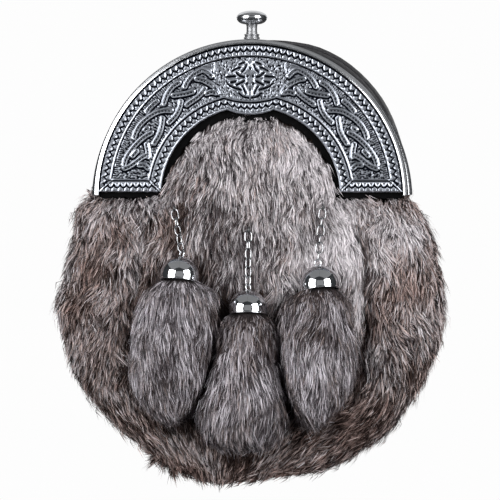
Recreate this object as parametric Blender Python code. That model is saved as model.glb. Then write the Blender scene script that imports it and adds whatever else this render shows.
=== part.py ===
"""Full-dress sporran pouch: fur pouch, cast cantle on a two-band frame, push-button knob, three tassels.

Metres. +X is the right side seen from the front, +Y points at the wearer and +Z is up. The origin is on the
leather back, midway between the two belt loops.
"""

import math

import bmesh
import bpy
from mathutils import Matrix, Vector

GAP = 0.0003  # between pieces that touch
MM = 0.001

# The arch of the cantle, seen from the front
ARCH_Z = -0.0440  # height of its centre
BAND_R = 0.0753  # outer radius of the front band
BAND_WALL = 0.0023
BAND_EDGE = 0.0005  # taken off the bands' edges
BAND_END_Z = -0.0430  # where both bands end
PLATE_R = BAND_R - BAND_WALL - GAP
PLATE_INNER_R = 0.0430
PLATE_END_Z = -0.0416
LOBE_HALF = 0.0110  # the plate dips between two cusps at the top of the opening
LOBE_DROP = 0.0022
BORDER_WIDTH = 0.0064  # the raised border round the plate
FIELD_DEPTH = 0.0007  # how far the field lies below the border

# Depths, from the wearer forwards: the leather back, the gusset, the two bands, then the underlay and the plate
PANEL_THICK = 0.0022
GUSSET_DEPTH = 0.0140
GUSSET_WALL = 0.0020
BACK_BAND_DEPTH = 0.0070
FRONT_BAND_DEPTH = 0.0080
UNDERLAY_THICK = 0.0015
PLATE_THICK = 0.0030
PANEL_FRONT = -PANEL_THICK
GUSSET_BACK = PANEL_FRONT - GAP
GUSSET_FRONT = GUSSET_BACK - GUSSET_DEPTH
BACK_BAND_BACK = GUSSET_FRONT - GAP
BACK_BAND_FRONT = BACK_BAND_BACK - BACK_BAND_DEPTH
FRONT_BAND_BACK = BACK_BAND_FRONT - GAP
FRONT_BAND_FRONT = FRONT_BAND_BACK - FRONT_BAND_DEPTH
PLATE_FRONT = FRONT_BAND_FRONT - 0.0005
UNDERLAY_FRONT = PLATE_FRONT + PLATE_THICK + GAP
UNDERLAY_BACK = UNDERLAY_FRONT + UNDERLAY_THICK

# The back band stands a little wider than the front one at the legs
BACK_BAND_TOP_R = 0.0754
BACK_BAND_SIDE_R = 0.0772

# Pinked edge of the underlay
UNDERLAY_SIDE_MARGIN = 0.0024  # how far it shows inside the opening, at the legs
UNDERLAY_TOP_MARGIN = 0.0036  # and at the top
PINK_PITCH = 0.0060
PINK_DEPTH = 0.0010

# Outline of the leather gusset: its right shoulder stands out past the bands
GUSSET_ARCH = (  # angle from the right leg, degrees; outer radius
    (0, 0.0755),
    (15, 0.0760),
    (22, 0.0764),
    (28, 0.0772),
    (40, 0.0786),
    (56, 0.0793),
    (66, 0.0788),
    (75, 0.0772),
    (90, 0.0754),
    (110, 0.0756),
    (135, 0.0761),
    (165, 0.0759),
    (180, 0.0755),
)

# Sections of the fur pouch, millimetres: height, left and right edge, front
POUCH_ROWS = (
    (-43.3, -77.0, 76.0, -27.3),
    (-45.6, -81.0, 79.0, -27.4),
    (-48.5, -83.0, 80.5, -33.5),
    (-53.0, -85.0, 82.5, -37.0),
    (-65.0, -87.0, 88.0, -39.5),
    (-96.0, -93.0, 92.5, -40.0),
    (-113.0, -90.5, 92.0, -41.0),
    (-128.0, -86.0, 87.0, -42.0),
    (-142.5, -76.5, 79.0, -42.0),
    (-155.0, -65.0, 70.0, -40.5),
    (-166.0, -52.5, 56.5, -37.0),
    (-176.0, -40.5, 38.0, -31.0),
    (-183.0, -24.0, 8.0, -24.0),
)
POUCH_STEP = 6.2  # most between two sections
POUCH_SIDES = 40
POUCH_SQUARE = 2.7  # superellipse power of its sections
POUCH_BACK = PANEL_FRONT - GAP
PILE_WALL = 0.0090  # hide with its pile
HOLLOW_SIDES = 24
ROLL_RISE = 0.0030  # the side fur swells in front of the middle
ROLL_AT, ROLL_WIDTH = 0.79, 0.13  # as parts of the half width
GROOVE_DEPTH = 0.0022  # where the side fur meets the middle
GROOVE_AT, GROOVE_WIDTH = 0.61, 0.06
PANEL_INSET = 0.0085  # of the leather back inside the fur's outline
PANEL_ROWS = 20
PANEL_ROUND = 6.0  # how far up its bottom is rounded, mm

# The fur that fills the cantle's opening
NECK_CENTRE_Z = -0.0460
NECK_HALF = 0.0380
NECK_HEIGHT = 0.0361
NECK_BULGE = 0.0105
NECK_HIDE_R = 0.0445
NECK_HIDE_THICK = 0.0025
NECK_HIDE_END_Z = -0.0480

# Knob: a button on a stem, with a pin through the back band
KNOB_Y = (BACK_BAND_BACK + BACK_BAND_FRONT) / 2
KNOB_R = 0.0075
KNOB_WIDEST_Z = 0.0421
KNOB_TOP_Z = 0.0454
KNOB_UNDER_Z = 0.0386
STEM_R = 0.0027
COLLAR_R = 0.00385
COLLAR_BORE_R = 0.0030
COLLAR_TOP_Z = 0.0341
PIN_R = 0.0015
PIN_HOLE_R = 0.0018
PIN_END_Z = 0.0274
BAND_TOP_Z = ARCH_Z + BACK_BAND_TOP_R

# Belt loops on the back
LOOP_X = 0.0320
LOOP_WIDTH = 0.0180
LOOP_THICK = 0.0022
LOOP_CLEAR = 0.0055  # depth of the strap's slot
LOOP_HALF = 0.0125  # half the slot's height at the back
LOOP_SLOPE = 0.0035  # lost to the slant of its two ends
LOOP_FOOT = 0.0040

# Chain of oval wire links
WIRE = 0.0007
LINK_LONG = 0.0059
LINK_WIDE = 0.0039
CHAIN_SLACK = 0.00025  # left at each meeting of two wires
LINK_PITCH = LINK_LONG - 2 * WIRE - CHAIN_SLACK
ANCHOR_R = 0.0022
ANCHOR_THICK = 0.0010
EYE_R = 0.0015  # of the anchors' and caps' eyes, at the middle of the wire
EYE_RISE = 0.0014  # from the metal to the eye's centre

# Tassel caps
CAP_R = 0.0094
CAP_SKIRT = 0.0026
CAP_WALL = 0.0008
CAP_CLEAR = 0.0003  # from the pouch
CAP_TIP_BACK = math.radians(12)  # the fur below pushes each cap's rim forwards

# Tassels: name, x of the chain's upper end, x and z of the cap's dome (mm), sideways tilt (degrees), links,
# and how far the chain turns about itself (degrees)
TASSELS = (
    ("left", -35.9, -32.3, -81.2, 5.0, 5, 45.0),
    ("middle", -0.2, 0.1, -97.0, 0.0, 6, 45.0),
    ("right", 35.0, 34.2, -85.2, -6.0, 6, 0.0),
)

# Sections of each tassel's fur, mm: drop below the cap's rim, left and right edge, distance of its back from the
# pouch, and thickness
TASSEL_ROWS = {
    "left": (
        (-2.0, -38.1, -26.9, 4.7, 10.8),
        (1.0, -40.1, -24.9, 3.0, 15.5),
        (4.5, -45.5, -19.0, 1.4, 20.0),
        (10.0, -49.5, -14.3, 0.8, 23.0),
        (22.0, -54.5, -14.3, 0.8, 26.0),
        (36.0, -54.6, -17.6, 0.8, 27.0),
        (48.0, -52.0, -22.3, 0.8, 25.5),
        (58.0, -46.5, -27.0, 0.8, 21.0),
        (64.5, -39.5, -33.0, 2.0, 14.0),
    ),
    "middle": (
        (-2.0, -6.0, 6.2, 4.6, 11.0),
        (1.0, -7.8, 8.0, 3.0, 15.5),
        (4.5, -11.3, 11.8, 1.4, 19.0),
        (10.0, -12.5, 13.4, 0.8, 21.5),
        (24.0, -15.4, 14.4, 0.8, 25.0),
        (38.0, -19.8, 16.6, 0.8, 26.5),
        (48.0, -24.0, 18.6, 0.8, 26.0),
        (57.0, -21.5, 15.5, 0.8, 21.5),
        (62.0, -11.0, 5.0, 2.0, 13.5),
    ),
    "right": (
        (-2.0, 28.8, 39.8, 4.7, 10.8),
        (1.0, 26.9, 41.8, 3.0, 15.5),
        (4.5, 21.0, 46.5, 1.4, 20.0),
        (9.0, 17.5, 48.0, 0.8, 22.5),
        (18.0, 16.5, 50.0, 0.8, 25.5),
        (32.0, 17.2, 51.2, 0.8, 27.0),
        (44.0, 19.0, 50.0, 0.8, 25.5),
        (55.0, 22.5, 42.5, 0.8, 21.0),
        (61.5, 27.5, 34.0, 2.0, 13.5),
    ),
}
TASSEL_RINGS = 13
TASSEL_SIDES = 18

FINISHES = {  # colour, metallic, roughness
    "antique_cast": ((0.33, 0.34, 0.36), 1.0, 0.30),
    "bright_metal": ((0.72, 0.73, 0.75), 1.0, 0.12),
    "black_leather": ((0.020, 0.019, 0.020), 0.0, 0.55),
    "grey_fur": ((0.21, 0.17, 0.155), 0.0, 0.85),
    "tassel_fur": ((0.24, 0.21, 0.20), 0.0, 0.85),
}


# ------------------------------------------------------------------ helpers


def clear_scene():
    for thing in list(bpy.data.objects):
        bpy.data.objects.remove(thing, do_unlink=True)


def finish(name):
    """The material of one finish, made once."""
    found = bpy.data.materials.get(name)
    if found:
        return found
    colour, metallic, roughness = FINISHES[name]
    material = bpy.data.materials.new(name)
    material.use_nodes = True
    shader = material.node_tree.nodes["Principled BSDF"]
    shader.inputs["Base Color"].default_value = (*colour, 1.0)
    shader.inputs["Metallic"].default_value = metallic
    shader.inputs["Roughness"].default_value = roughness
    return material


def make_object(name, bm, material, sharp=40):
    """One object from a bmesh, facing outwards and shaded smooth up to the given angle."""
    bmesh.ops.remove_doubles(bm, verts=bm.verts, dist=1e-6)
    bmesh.ops.recalc_face_normals(bm, faces=bm.faces)
    mesh = bpy.data.meshes.new(name)
    bm.to_mesh(mesh)
    bm.free()
    mesh.shade_smooth()
    mesh.set_sharp_from_angle(angle=math.radians(sharp))
    mesh.materials.append(finish(material))
    thing = bpy.data.objects.new(name, mesh)
    bpy.context.scene.collection.objects.link(thing)
    return thing


def combine(thing, other, operation):
    """Adds or cuts another object, which becomes a hidden guide."""
    step = thing.modifiers.new(other.name, "BOOLEAN")
    step.operation = operation
    step.object = other
    step.solver = "EXACT"
    other.hide_render = True
    other.display_type = "WIRE"


def smooth_value(rows, key, column):
    """A monotone cubic through one column of a table, read at key in its first column."""
    xs = [row[0] for row in rows]
    ys = [row[column] for row in rows]
    rising = xs[-1] > xs[0]
    if not rising:
        xs, ys = xs[::-1], ys[::-1]
    slopes = [(ys[i + 1] - ys[i]) / (xs[i + 1] - xs[i]) for i in range(len(xs) - 1)]
    tangents = [slopes[0]]
    for before, after in zip(slopes, slopes[1:]):
        same_way = before * after > 0
        tangents.append(2 * before * after / (before + after) if same_way else 0.0)
    tangents.append(slopes[-1])
    key = min(max(key, xs[0]), xs[-1])
    i = max(j for j in range(len(xs) - 1) if xs[j] <= key or j == 0)
    width = xs[i + 1] - xs[i]
    t = (key - xs[i]) / width
    return (
        (2 * t**3 - 3 * t**2 + 1) * ys[i]
        + (t**3 - 2 * t**2 + t) * width * tangents[i]
        + (-2 * t**3 + 3 * t**2) * ys[i + 1]
        + (t**3 - t**2) * width * tangents[i + 1]
    )


def bump(value, centre, width):
    """A smooth hill of height 1."""
    return math.exp(-(((value - centre) / width) ** 2))


def skin(rings):
    """A closed body through rings of points, each ring the same number, its ends capped."""
    bm = bmesh.new()
    loops = [[bm.verts.new(point) for point in ring] for ring in rings]
    count = len(loops[0])
    for lower, upper in zip(loops, loops[1:]):
        for i in range(count):
            j = (i + 1) % count
            bm.faces.new((lower[i], lower[j], upper[j], upper[i]))
    bm.faces.new(loops[0][::-1])
    bm.faces.new(loops[-1])
    bmesh.ops.triangulate(bm, faces=[f for f in bm.faces if len(f.verts) > 4])
    return bm


def slab(outline, y_front, y_back):
    """A flat piece from its outline of (x, z) points."""
    bm = bmesh.new()
    face = bm.faces.new([bm.verts.new((x, y_front, z)) for x, z in outline])
    made = bmesh.ops.extrude_face_region(bm, geom=[face])
    moved = [v for v in made["geom"] if isinstance(v, bmesh.types.BMVert)]
    bmesh.ops.translate(bm, verts=moved, vec=(0, y_back - y_front, 0))
    bmesh.ops.triangulate(bm, faces=[f for f in bm.faces if len(f.verts) > 4])
    return bm


def turned(profile, steps=24):
    """A closed body from a profile of (radius, height) points, turned round Z."""
    bm = bmesh.new()
    points = [bm.verts.new((radius, 0, height)) for radius, height in profile]
    edges = [bm.edges.new(pair) for pair in zip(points, points[1:])]
    on_axis = profile[0][0] < 1e-7 and profile[-1][0] < 1e-7
    if not on_axis:
        edges.append(bm.edges.new((points[-1], points[0])))
    bmesh.ops.spin(
        bm,
        geom=points + edges,
        cent=(0, 0, 0),
        axis=(0, 0, 1),
        angle=math.tau,
        steps=steps,
        use_merge=True,
    )
    bmesh.ops.remove_doubles(bm, verts=bm.verts, dist=1e-7)
    return bm


def arc(centre_z, radius, start, end, steps):
    """Points (x, z) along an arc round (0, centre_z), angles in radians from +X."""
    turns = [start + (end - start) * i / steps for i in range(steps + 1)]
    return [(radius * math.cos(a), centre_z + radius * math.sin(a)) for a in turns]


# ------------------------------------------------------------------ cantle


def opening_radius(angle, side_margin=0.0, top_margin=0.0):
    """Distance from the arch's centre to the plate's inner edge, less a margin."""
    across = abs(math.cos(angle))
    radius = PLATE_INNER_R
    if across * PLATE_INNER_R < LOBE_HALF:
        # the lobe is an arc through both cusps and its lowest point
        lobe_r = (LOBE_HALF**2 + LOBE_DROP**2) / (2 * LOBE_DROP)
        cusp_z = math.sqrt(PLATE_INNER_R**2 - LOBE_HALF**2)
        centre = cusp_z - LOBE_DROP + lobe_r
        rise = math.sin(angle)
        radius = centre * rise - math.sqrt(lobe_r**2 - (centre * across) ** 2)
    margin = side_margin + (top_margin - side_margin) * math.sin(angle) ** 2
    return radius - margin


def plate_outline(outer_r, end_z, inner, steps=56):
    """Outline of an arch with two legs: inner(angle) is the radius of its inner edge."""
    start = math.asin((end_z - ARCH_Z) / outer_r)
    outer = arc(ARCH_Z, outer_r, start, math.pi - start, steps)
    low = math.asin((end_z - ARCH_Z) / inner(0.0))
    inner_edge = []
    for i in range(steps + 1):
        a = math.pi - low - (math.pi - 2 * low) * i / steps
        r = inner(a)
        inner_edge.append((r * math.cos(a), ARCH_Z + r * math.sin(a)))
    return outer + inner_edge


def make_cantle_plate():
    """The casting: a raised border all round a sunk field."""
    whole = plate_outline(PLATE_R, PLATE_END_Z, opening_radius)
    body = slab(whole, PLATE_FRONT, PLATE_FRONT + PLATE_THICK)
    plate = make_object("cantle_plate", body, "antique_cast", sharp=25)
    field = plate_outline(
        PLATE_R - BORDER_WIDTH,
        PLATE_END_Z + BORDER_WIDTH,
        lambda angle: opening_radius(angle, -BORDER_WIDTH, -BORDER_WIDTH),
    )
    pocket = slab(field, PLATE_FRONT - PLATE_THICK, PLATE_FRONT + FIELD_DEPTH)
    combine(plate, make_object("field_cutter", pocket, "antique_cast"), "DIFFERENCE")


def make_underlay():
    """Leather behind the plate, with a pinked edge in the opening and below the legs."""

    def scallop(travel):
        return PINK_DEPTH * abs(math.sin(math.pi * travel / PINK_PITCH))

    def inner(angle):
        radius = opening_radius(angle, UNDERLAY_SIDE_MARGIN, UNDERLAY_TOP_MARGIN)
        return radius - scallop(radius * angle)

    outer = arc(ARCH_Z, PLATE_R, 0, math.pi, 56)
    inner_edge = []
    steps = 132
    for i in range(1, steps):
        a = math.pi - math.pi * i / steps
        r = inner(a)
        inner_edge.append((r * math.cos(a), ARCH_Z + r * math.sin(a)))
    foot = []
    inside = PLATE_INNER_R - UNDERLAY_SIDE_MARGIN
    width = PLATE_R - inside
    for i in range(1, 24):
        travel = width * i / 24
        foot.append((PLATE_R - travel, ARCH_Z - scallop(travel)))
    left_foot = [(-x, z) for x, z in foot]
    right_foot = foot[::-1]
    corner_left, corner_right = (-inside, ARCH_Z), (inside, ARCH_Z)
    outline = outer + left_foot + [corner_left] + inner_edge + [corner_right] + right_foot
    make_object("leather_underlay", slab(outline, UNDERLAY_FRONT, UNDERLAY_BACK), "black_leather", sharp=30)


def band(name, radius, y_front, y_back):
    """Half of the frame: a band with broken edges, spun round the arch's centre."""
    inner = radius - BAND_WALL
    e = BAND_EDGE
    profile = [
        (inner, y_front + e),
        (inner + e, y_front),
        (radius - e, y_front),
        (radius, y_front + e),
        (radius, y_back - e),
        (radius - e, y_back),
        (inner + e, y_back),
        (inner, y_back - e),
    ]
    end = math.asin((BAND_END_Z - ARCH_Z) / radius)
    bm = bmesh.new()
    face = bm.faces.new([bm.verts.new((r, y, 0)) for r, y in profile])
    bmesh.ops.rotate(bm, verts=bm.verts, cent=(0, 0, 0), matrix=Matrix.Rotation(-end, 3, "Y"))
    bmesh.ops.spin(bm, geom=[face], cent=(0, 0, 0), axis=(0, -1, 0), angle=math.pi - 2 * end, steps=44)
    bmesh.ops.translate(bm, verts=bm.verts, vec=(0, 0, ARCH_Z))
    return make_object(name, bm, "bright_metal", sharp=35)


def make_frames():
    band("front_frame", BAND_R, FRONT_BAND_FRONT, FRONT_BAND_BACK)
    back = band("back_frame", BACK_BAND_TOP_R, BACK_BAND_FRONT, BACK_BAND_BACK)
    for vertex in back.data.vertices:
        low = 1 - max(0.0, (vertex.co.z - ARCH_Z) / BACK_BAND_TOP_R)
        vertex.co.x *= 1 + (BACK_BAND_SIDE_R / BACK_BAND_TOP_R - 1) * low
    depth = 3 * BAND_WALL
    hole = turned([(0, -depth), (PIN_HOLE_R, -depth), (PIN_HOLE_R, depth), (0, depth)], 16)
    bmesh.ops.translate(hole, verts=hole.verts, vec=(0, KNOB_Y, BAND_TOP_Z))
    combine(back, make_object("pin_hole_cutter", hole, "bright_metal"), "DIFFERENCE")


# ------------------------------------------------------------------ knob


def make_knob():
    """Lens-shaped button, stem and pin in one turned solid, and the collar that guides it."""
    steps = 6
    top = KNOB_TOP_Z - KNOB_WIDEST_Z
    under = KNOB_WIDEST_Z - KNOB_UNDER_Z
    profile = [(0, KNOB_TOP_Z)]
    for i in range(1, steps + 1):
        a = math.pi / 2 * i / steps
        profile.append((KNOB_R * math.sin(a), KNOB_WIDEST_Z + top * math.cos(a)))
    for i in range(1, steps):
        a = math.pi / 2 * i / steps
        profile.append((STEM_R + (KNOB_R - STEM_R) * math.cos(a), KNOB_WIDEST_Z - under * math.sin(a)))
    shoulder = COLLAR_TOP_Z - GAP
    profile += [
        (STEM_R, KNOB_UNDER_Z),
        (STEM_R, shoulder),
        (PIN_R, shoulder),
        (PIN_R, PIN_END_Z),
        (0, PIN_END_Z),
    ]
    knob = make_object("knob", turned(profile[::-1], 28), "bright_metal")
    knob.location = (0, KNOB_Y, 0)
    foot = BAND_TOP_Z + GAP
    waist = COLLAR_R - 0.0005
    ring = [
        (COLLAR_BORE_R, foot),
        (COLLAR_R, foot),
        (COLLAR_R, foot + 0.0008),
        (waist, foot + 0.0011),
        (waist, COLLAR_TOP_Z - 0.0007),
        (COLLAR_R - 0.0002, COLLAR_TOP_Z - 0.0004),
        (COLLAR_R - 0.0003, COLLAR_TOP_Z),
        (COLLAR_BORE_R, COLLAR_TOP_Z),
    ]
    collar = make_object("knob_collar", turned(ring, 24), "bright_metal")
    collar.location = (0, KNOB_Y, 0)


# ------------------------------------------------------------------ leather


def gusset_radius(angle):
    """Outer radius of the gusset and the back at an angle round the arch."""
    return smooth_value(GUSSET_ARCH, math.degrees(angle), 1)


def gusset_arc(inset, end_z, steps=44):
    start = math.asin((end_z - ARCH_Z) / GUSSET_ARCH[0][1])
    points = []
    for i in range(steps + 1):
        a = start + (math.pi - 2 * start) * i / steps
        r = gusset_radius(a) - inset
        points.append((r * math.cos(a), ARCH_Z + r * math.sin(a)))
    return points


def make_gusset():
    outline = gusset_arc(0.0, BAND_END_Z) + gusset_arc(GUSSET_WALL, BAND_END_Z)[::-1]
    make_object("leather_gusset", slab(outline, GUSSET_FRONT, GUSSET_BACK), "black_leather")


def pouch_edge(z_mm, inset):
    """Left and right edge of the pouch at a height, drawn in by an inset."""
    left = smooth_value(POUCH_ROWS, z_mm, 1) * MM + inset
    right = smooth_value(POUCH_ROWS, z_mm, 2) * MM - inset
    return left, right


def make_back_panel():
    """Flat leather back: the gusset's arch above, the fur's outline drawn in below."""
    arch = gusset_arc(0.0, BAND_END_Z)
    top, bottom = POUCH_ROWS[1][0], POUCH_ROWS[-1][0] + PANEL_INSET / MM
    left, right = [], []
    for i in range(PANEL_ROWS + 1):
        z = top + (bottom - top) * math.sin(math.pi / 2 * i / PANEL_ROWS)
        left_x, right_x = pouch_edge(z, PANEL_INSET)
        close = 1 - bump(z, bottom, PANEL_ROUND)
        middle = (left_x + right_x) / 2
        left.append((middle + (left_x - middle) * math.sqrt(close), z * MM))
        right.append((middle + (right_x - middle) * math.sqrt(close), z * MM))
    right.pop()
    make_object("back_panel", slab(arch + left + right[::-1], PANEL_FRONT, 0.0), "black_leather")


def make_strap_loops():
    """Two leather bridges that the sporran strap passes through, along X."""
    low, high = GAP, LOOP_CLEAR
    outer_half = LOOP_HALF + LOOP_THICK
    outside = [
        (outer_half + LOOP_FOOT, low + LOOP_THICK),
        (outer_half, low + LOOP_THICK),
        (outer_half - LOOP_SLOPE, high + LOOP_THICK),
    ]
    inside = [
        (outer_half + LOOP_FOOT, low),
        (LOOP_HALF, low),
        (LOOP_HALF - LOOP_SLOPE, high),
    ]
    upper = outside + [(-z, y) for z, y in outside[::-1]]
    under = inside + [(-z, y) for z, y in inside[::-1]]
    profile = upper + under[::-1]
    for side, x in (("left", -LOOP_X), ("right", LOOP_X)):
        bm = bmesh.new()
        edge = x - LOOP_WIDTH / 2
        face = bm.faces.new([bm.verts.new((edge, y, z)) for z, y in profile])
        made = bmesh.ops.extrude_face_region(bm, geom=[face])
        moved = [v for v in made["geom"] if isinstance(v, bmesh.types.BMVert)]
        bmesh.ops.translate(bm, verts=moved, vec=(LOOP_WIDTH, 0, 0))
        bmesh.ops.triangulate(bm, faces=[f for f in bm.faces if len(f.verts) > 4])
        make_object(f"strap_loop_{side}", bm, "black_leather", sharp=30)


# ------------------------------------------------------------------ fur pouch


def front_swell(z_mm, across):
    """The swell of the side fur, less the groove beside it, which fade out above and below."""
    top, bottom = POUCH_ROWS[3][0], POUCH_ROWS[-3][0]
    fade = min(1.0, max(0.0, (top - z_mm) / 15)) * min(1.0, max(0.0, (z_mm - bottom) / 15))
    roll = ROLL_RISE * bump(across, ROLL_AT, ROLL_WIDTH)
    groove = GROOVE_DEPTH * bump(across, GROOVE_AT, GROOVE_WIDTH)
    return fade * (groove - roll)


def pouch_ring(z_mm, inset, sides, back):
    """One section of the pouch: a superellipse with the swell and the groove on its front."""
    left, right = pouch_edge(z_mm, inset)
    front = smooth_value(POUCH_ROWS, z_mm, 3) * MM + inset
    middle, half = (left + right) / 2, (right - left) / 2
    depth_mid, depth_half = (front + back) / 2, (back - front) / 2
    ring = []
    for i in range(sides):
        a = math.tau * (i + 0.5) / sides
        c, s = math.cos(a), math.sin(a)
        power = 2 / POUCH_SQUARE
        x = middle + half * math.copysign(abs(c) ** power, c)
        y = depth_mid + depth_half * math.copysign(abs(s) ** power, s)
        if s < 0:
            y += front_swell(z_mm, abs(x - middle) / half)
        ring.append((x, y, z_mm * MM))
    return ring


def pouch_front_at(x, z):
    """Depth of the pouch's front at a point: the deeper of its body and its neck."""
    left, right = pouch_edge(z / MM, 0.0)
    middle, half = (left + right) / 2, (right - left) / 2
    front = smooth_value(POUCH_ROWS, z / MM, 3) * MM
    across = min(1.0, abs(x - middle) / half)
    depth_half = (POUCH_BACK - front) / 2
    body = POUCH_BACK - depth_half - depth_half * (1 - across**POUCH_SQUARE) ** (1 / POUCH_SQUARE)
    body += front_swell(z / MM, across)
    inside = 1 - (x / NECK_HALF) ** 2 - ((z - NECK_CENTRE_Z) / NECK_HEIGHT) ** 2
    neck = UNDERLAY_BACK + GAP - NECK_BULGE * math.sqrt(max(0.0, inside))
    return min(body, neck)


def make_fur_pouch():
    """Hide and pile: a cup open behind and above, with a neck that fills the cantle's opening."""
    top, bottom = POUCH_ROWS[0][0], POUCH_ROWS[-1][0]
    heights = [bottom]
    for lower, upper in zip(POUCH_ROWS[::-1], POUCH_ROWS[-2::-1]):
        parts = math.ceil((upper[0] - lower[0]) / POUCH_STEP)
        heights += [lower[0] + (upper[0] - lower[0]) * i / parts for i in range(1, parts + 1)]
    rings = [pouch_ring(z, 0.0, POUCH_SIDES, POUCH_BACK) for z in heights]
    pouch = make_object("fur_pouch", skin(rings), "grey_fur", sharp=60)

    neck = bmesh.new()
    bmesh.ops.create_uvsphere(neck, u_segments=32, v_segments=16, radius=1.0)
    bmesh.ops.rotate(neck, verts=neck.verts, cent=(0, 0, 0), matrix=Matrix.Rotation(math.pi / 2, 3, "X"))
    bmesh.ops.scale(neck, verts=neck.verts, vec=(NECK_HALF, NECK_BULGE, NECK_HEIGHT))
    hide_front = UNDERLAY_BACK + GAP
    bmesh.ops.translate(neck, verts=neck.verts, vec=(0, hide_front, NECK_CENTRE_Z))
    cut = bmesh.ops.bisect_plane(
        neck,
        geom=neck.verts[:] + neck.edges[:] + neck.faces[:],
        plane_co=(0, hide_front + NECK_HIDE_THICK / 2, 0),
        plane_no=(0, 1, 0),
        clear_outer=True,
    )
    rim = [e for e in cut["geom_cut"] if isinstance(e, bmesh.types.BMEdge)]
    bmesh.ops.edgeloop_fill(neck, edges=rim)
    combine(pouch, make_object("neck_fill", neck, "grey_fur"), "UNION")

    hide = arc(ARCH_Z, NECK_HIDE_R, 0, math.pi, 36)
    hide += [(-NECK_HIDE_R, NECK_HIDE_END_Z), (NECK_HIDE_R, NECK_HIDE_END_Z)]
    sheet = slab(hide, hide_front, hide_front + NECK_HIDE_THICK)
    combine(pouch, make_object("neck_hide", sheet, "grey_fur"), "UNION")

    # the hollow is cut straight out of the back and the top
    past_back = -2 * POUCH_BACK
    rings = []
    for z in (bottom + 11, -163, -150, -135, -115, -95, -75, top - 12, top - 2, top + 4):
        ring = pouch_ring(z, PILE_WALL, HOLLOW_SIDES, past_back)
        rings.append([(x, y if y < 2 * POUCH_BACK else past_back, height) for x, y, height in ring])
    combine(pouch, make_object("pouch_hollow", skin(rings), "grey_fur"), "DIFFERENCE")


# ------------------------------------------------------------------ tassels


def oval_link(name):
    """A wire link: a ring split at its waist and drawn out to an oval, long way along Z."""
    bm = bmesh.new()
    reach = LINK_WIDE / 2 - WIRE / 2
    made = bmesh.ops.create_circle(bm, segments=6, radius=WIRE / 2)
    steps = 10
    bmesh.ops.rotate(bm, verts=made["verts"], cent=(0, 0, 0), matrix=Matrix.Rotation(math.pi / 6, 3, "Z"))
    bmesh.ops.translate(bm, verts=made["verts"], vec=(reach, 0, 0))
    half_step = Matrix.Rotation(math.pi / steps, 3, "Y")
    bmesh.ops.rotate(bm, verts=made["verts"], cent=(0, 0, 0), matrix=half_step)
    bmesh.ops.spin(
        bm,
        geom=bm.verts[:] + bm.edges[:],
        cent=(0, 0, 0),
        axis=(0, 1, 0),
        angle=math.tau,
        steps=steps,
        use_merge=True,
    )
    bmesh.ops.remove_doubles(bm, verts=bm.verts, dist=1e-7)
    stretch = (LINK_LONG - LINK_WIDE) / 2
    for vertex in bm.verts:
        vertex.co.z += math.copysign(stretch, vertex.co.z)
    return make_object(name, bm, "bright_metal")


def eye_ring():
    """A small wire eye in the XZ plane round the origin."""
    bm = bmesh.new()
    made = bmesh.ops.create_circle(bm, segments=6, radius=WIRE / 2)
    bmesh.ops.translate(bm, verts=made["verts"], vec=(EYE_R, 0, 0))
    bmesh.ops.spin(
        bm,
        geom=bm.verts[:] + bm.edges[:],
        cent=(0, 0, 0),
        axis=(0, 1, 0),
        angle=math.tau,
        steps=12,
        use_merge=True,
    )
    bmesh.ops.remove_doubles(bm, verts=bm.verts, dist=1e-7)
    return bm


def frame_along(direction, roll=0.0):
    """A rotation whose Z runs along a direction and whose Y looks mostly backwards."""
    z = Vector(direction).normalized()
    x = Vector((0, 1, 0)).cross(z).normalized()
    y = z.cross(x)
    turn = Matrix((x, y, z)).transposed().to_4x4()
    return turn @ Matrix.Rotation(roll, 4, "Z")


def cap_axis(tilt_deg):
    """Unit vector up a cap's axis: its top leans back, and sideways by the tilt."""
    lean = math.sin(CAP_TIP_BACK)
    side = math.sin(math.radians(tilt_deg))
    return Vector((side, lean, math.sqrt(1 - lean**2 - side**2)))


def link_roll(i, twist_deg):
    """How far a link is turned about the chain: each a quarter from the last, past the chain's own twist."""
    return math.radians(90 * i + twist_deg * min(1.0, i / 2))


def make_cap(side, centre, tilt_deg, eye_roll):
    """Thin dome with a straight skirt and an eye on top."""
    steps = 6
    outer = [(CAP_R, -CAP_SKIRT)]
    inner = [(CAP_R - CAP_WALL, -CAP_SKIRT)]
    for i in range(steps + 1):
        a = math.pi / 2 * i / steps
        outer.append((CAP_R * math.cos(a), CAP_R * math.sin(a)))
        inner.append(((CAP_R - CAP_WALL) * math.cos(a), (CAP_R - CAP_WALL) * math.sin(a)))
    outer[-1] = (0, CAP_R)
    inner[-1] = (0, CAP_R - CAP_WALL)
    cap = make_object(f"tassel_cap_{side}", turned(inner[::-1] + outer, 22), "bright_metal")
    eye = make_object(f"cap_eye_{side}", eye_ring(), "bright_metal")
    axis = cap_axis(tilt_deg)
    cap.matrix_world = Matrix.Translation(centre) @ frame_along(axis)
    eye.matrix_world = Matrix.Translation(centre + axis * (CAP_R + EYE_RISE)) @ frame_along(axis, eye_roll)
    combine(cap, eye, "UNION")


def eye_to_link():
    """From an eye's centre to the centre of the link that hangs in it."""
    return EYE_R - WIRE / 2 - CHAIN_SLACK + LINK_LONG / 2 - WIRE


def upper_eye(low_eye, x, links):
    """Where a taut chain of so many links meets the pouch, above its lower eye."""
    reach = (links - 1) * LINK_PITCH + 2 * eye_to_link()
    stand = GAP + ANCHOR_THICK + EYE_RISE
    z = low_eye.z + reach
    for _ in range(30):
        under_stud = [pouch_front_at(x + i * ANCHOR_R, z + j * ANCHOR_R) for i in (-1, 0, 1) for j in (-1, 0, 1)]
        y = min(under_stud) - stand
        z = low_eye.z + math.sqrt(reach**2 - (x - low_eye.x) ** 2 - (y - low_eye.y) ** 2)
    return Vector((x, y, z))


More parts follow.
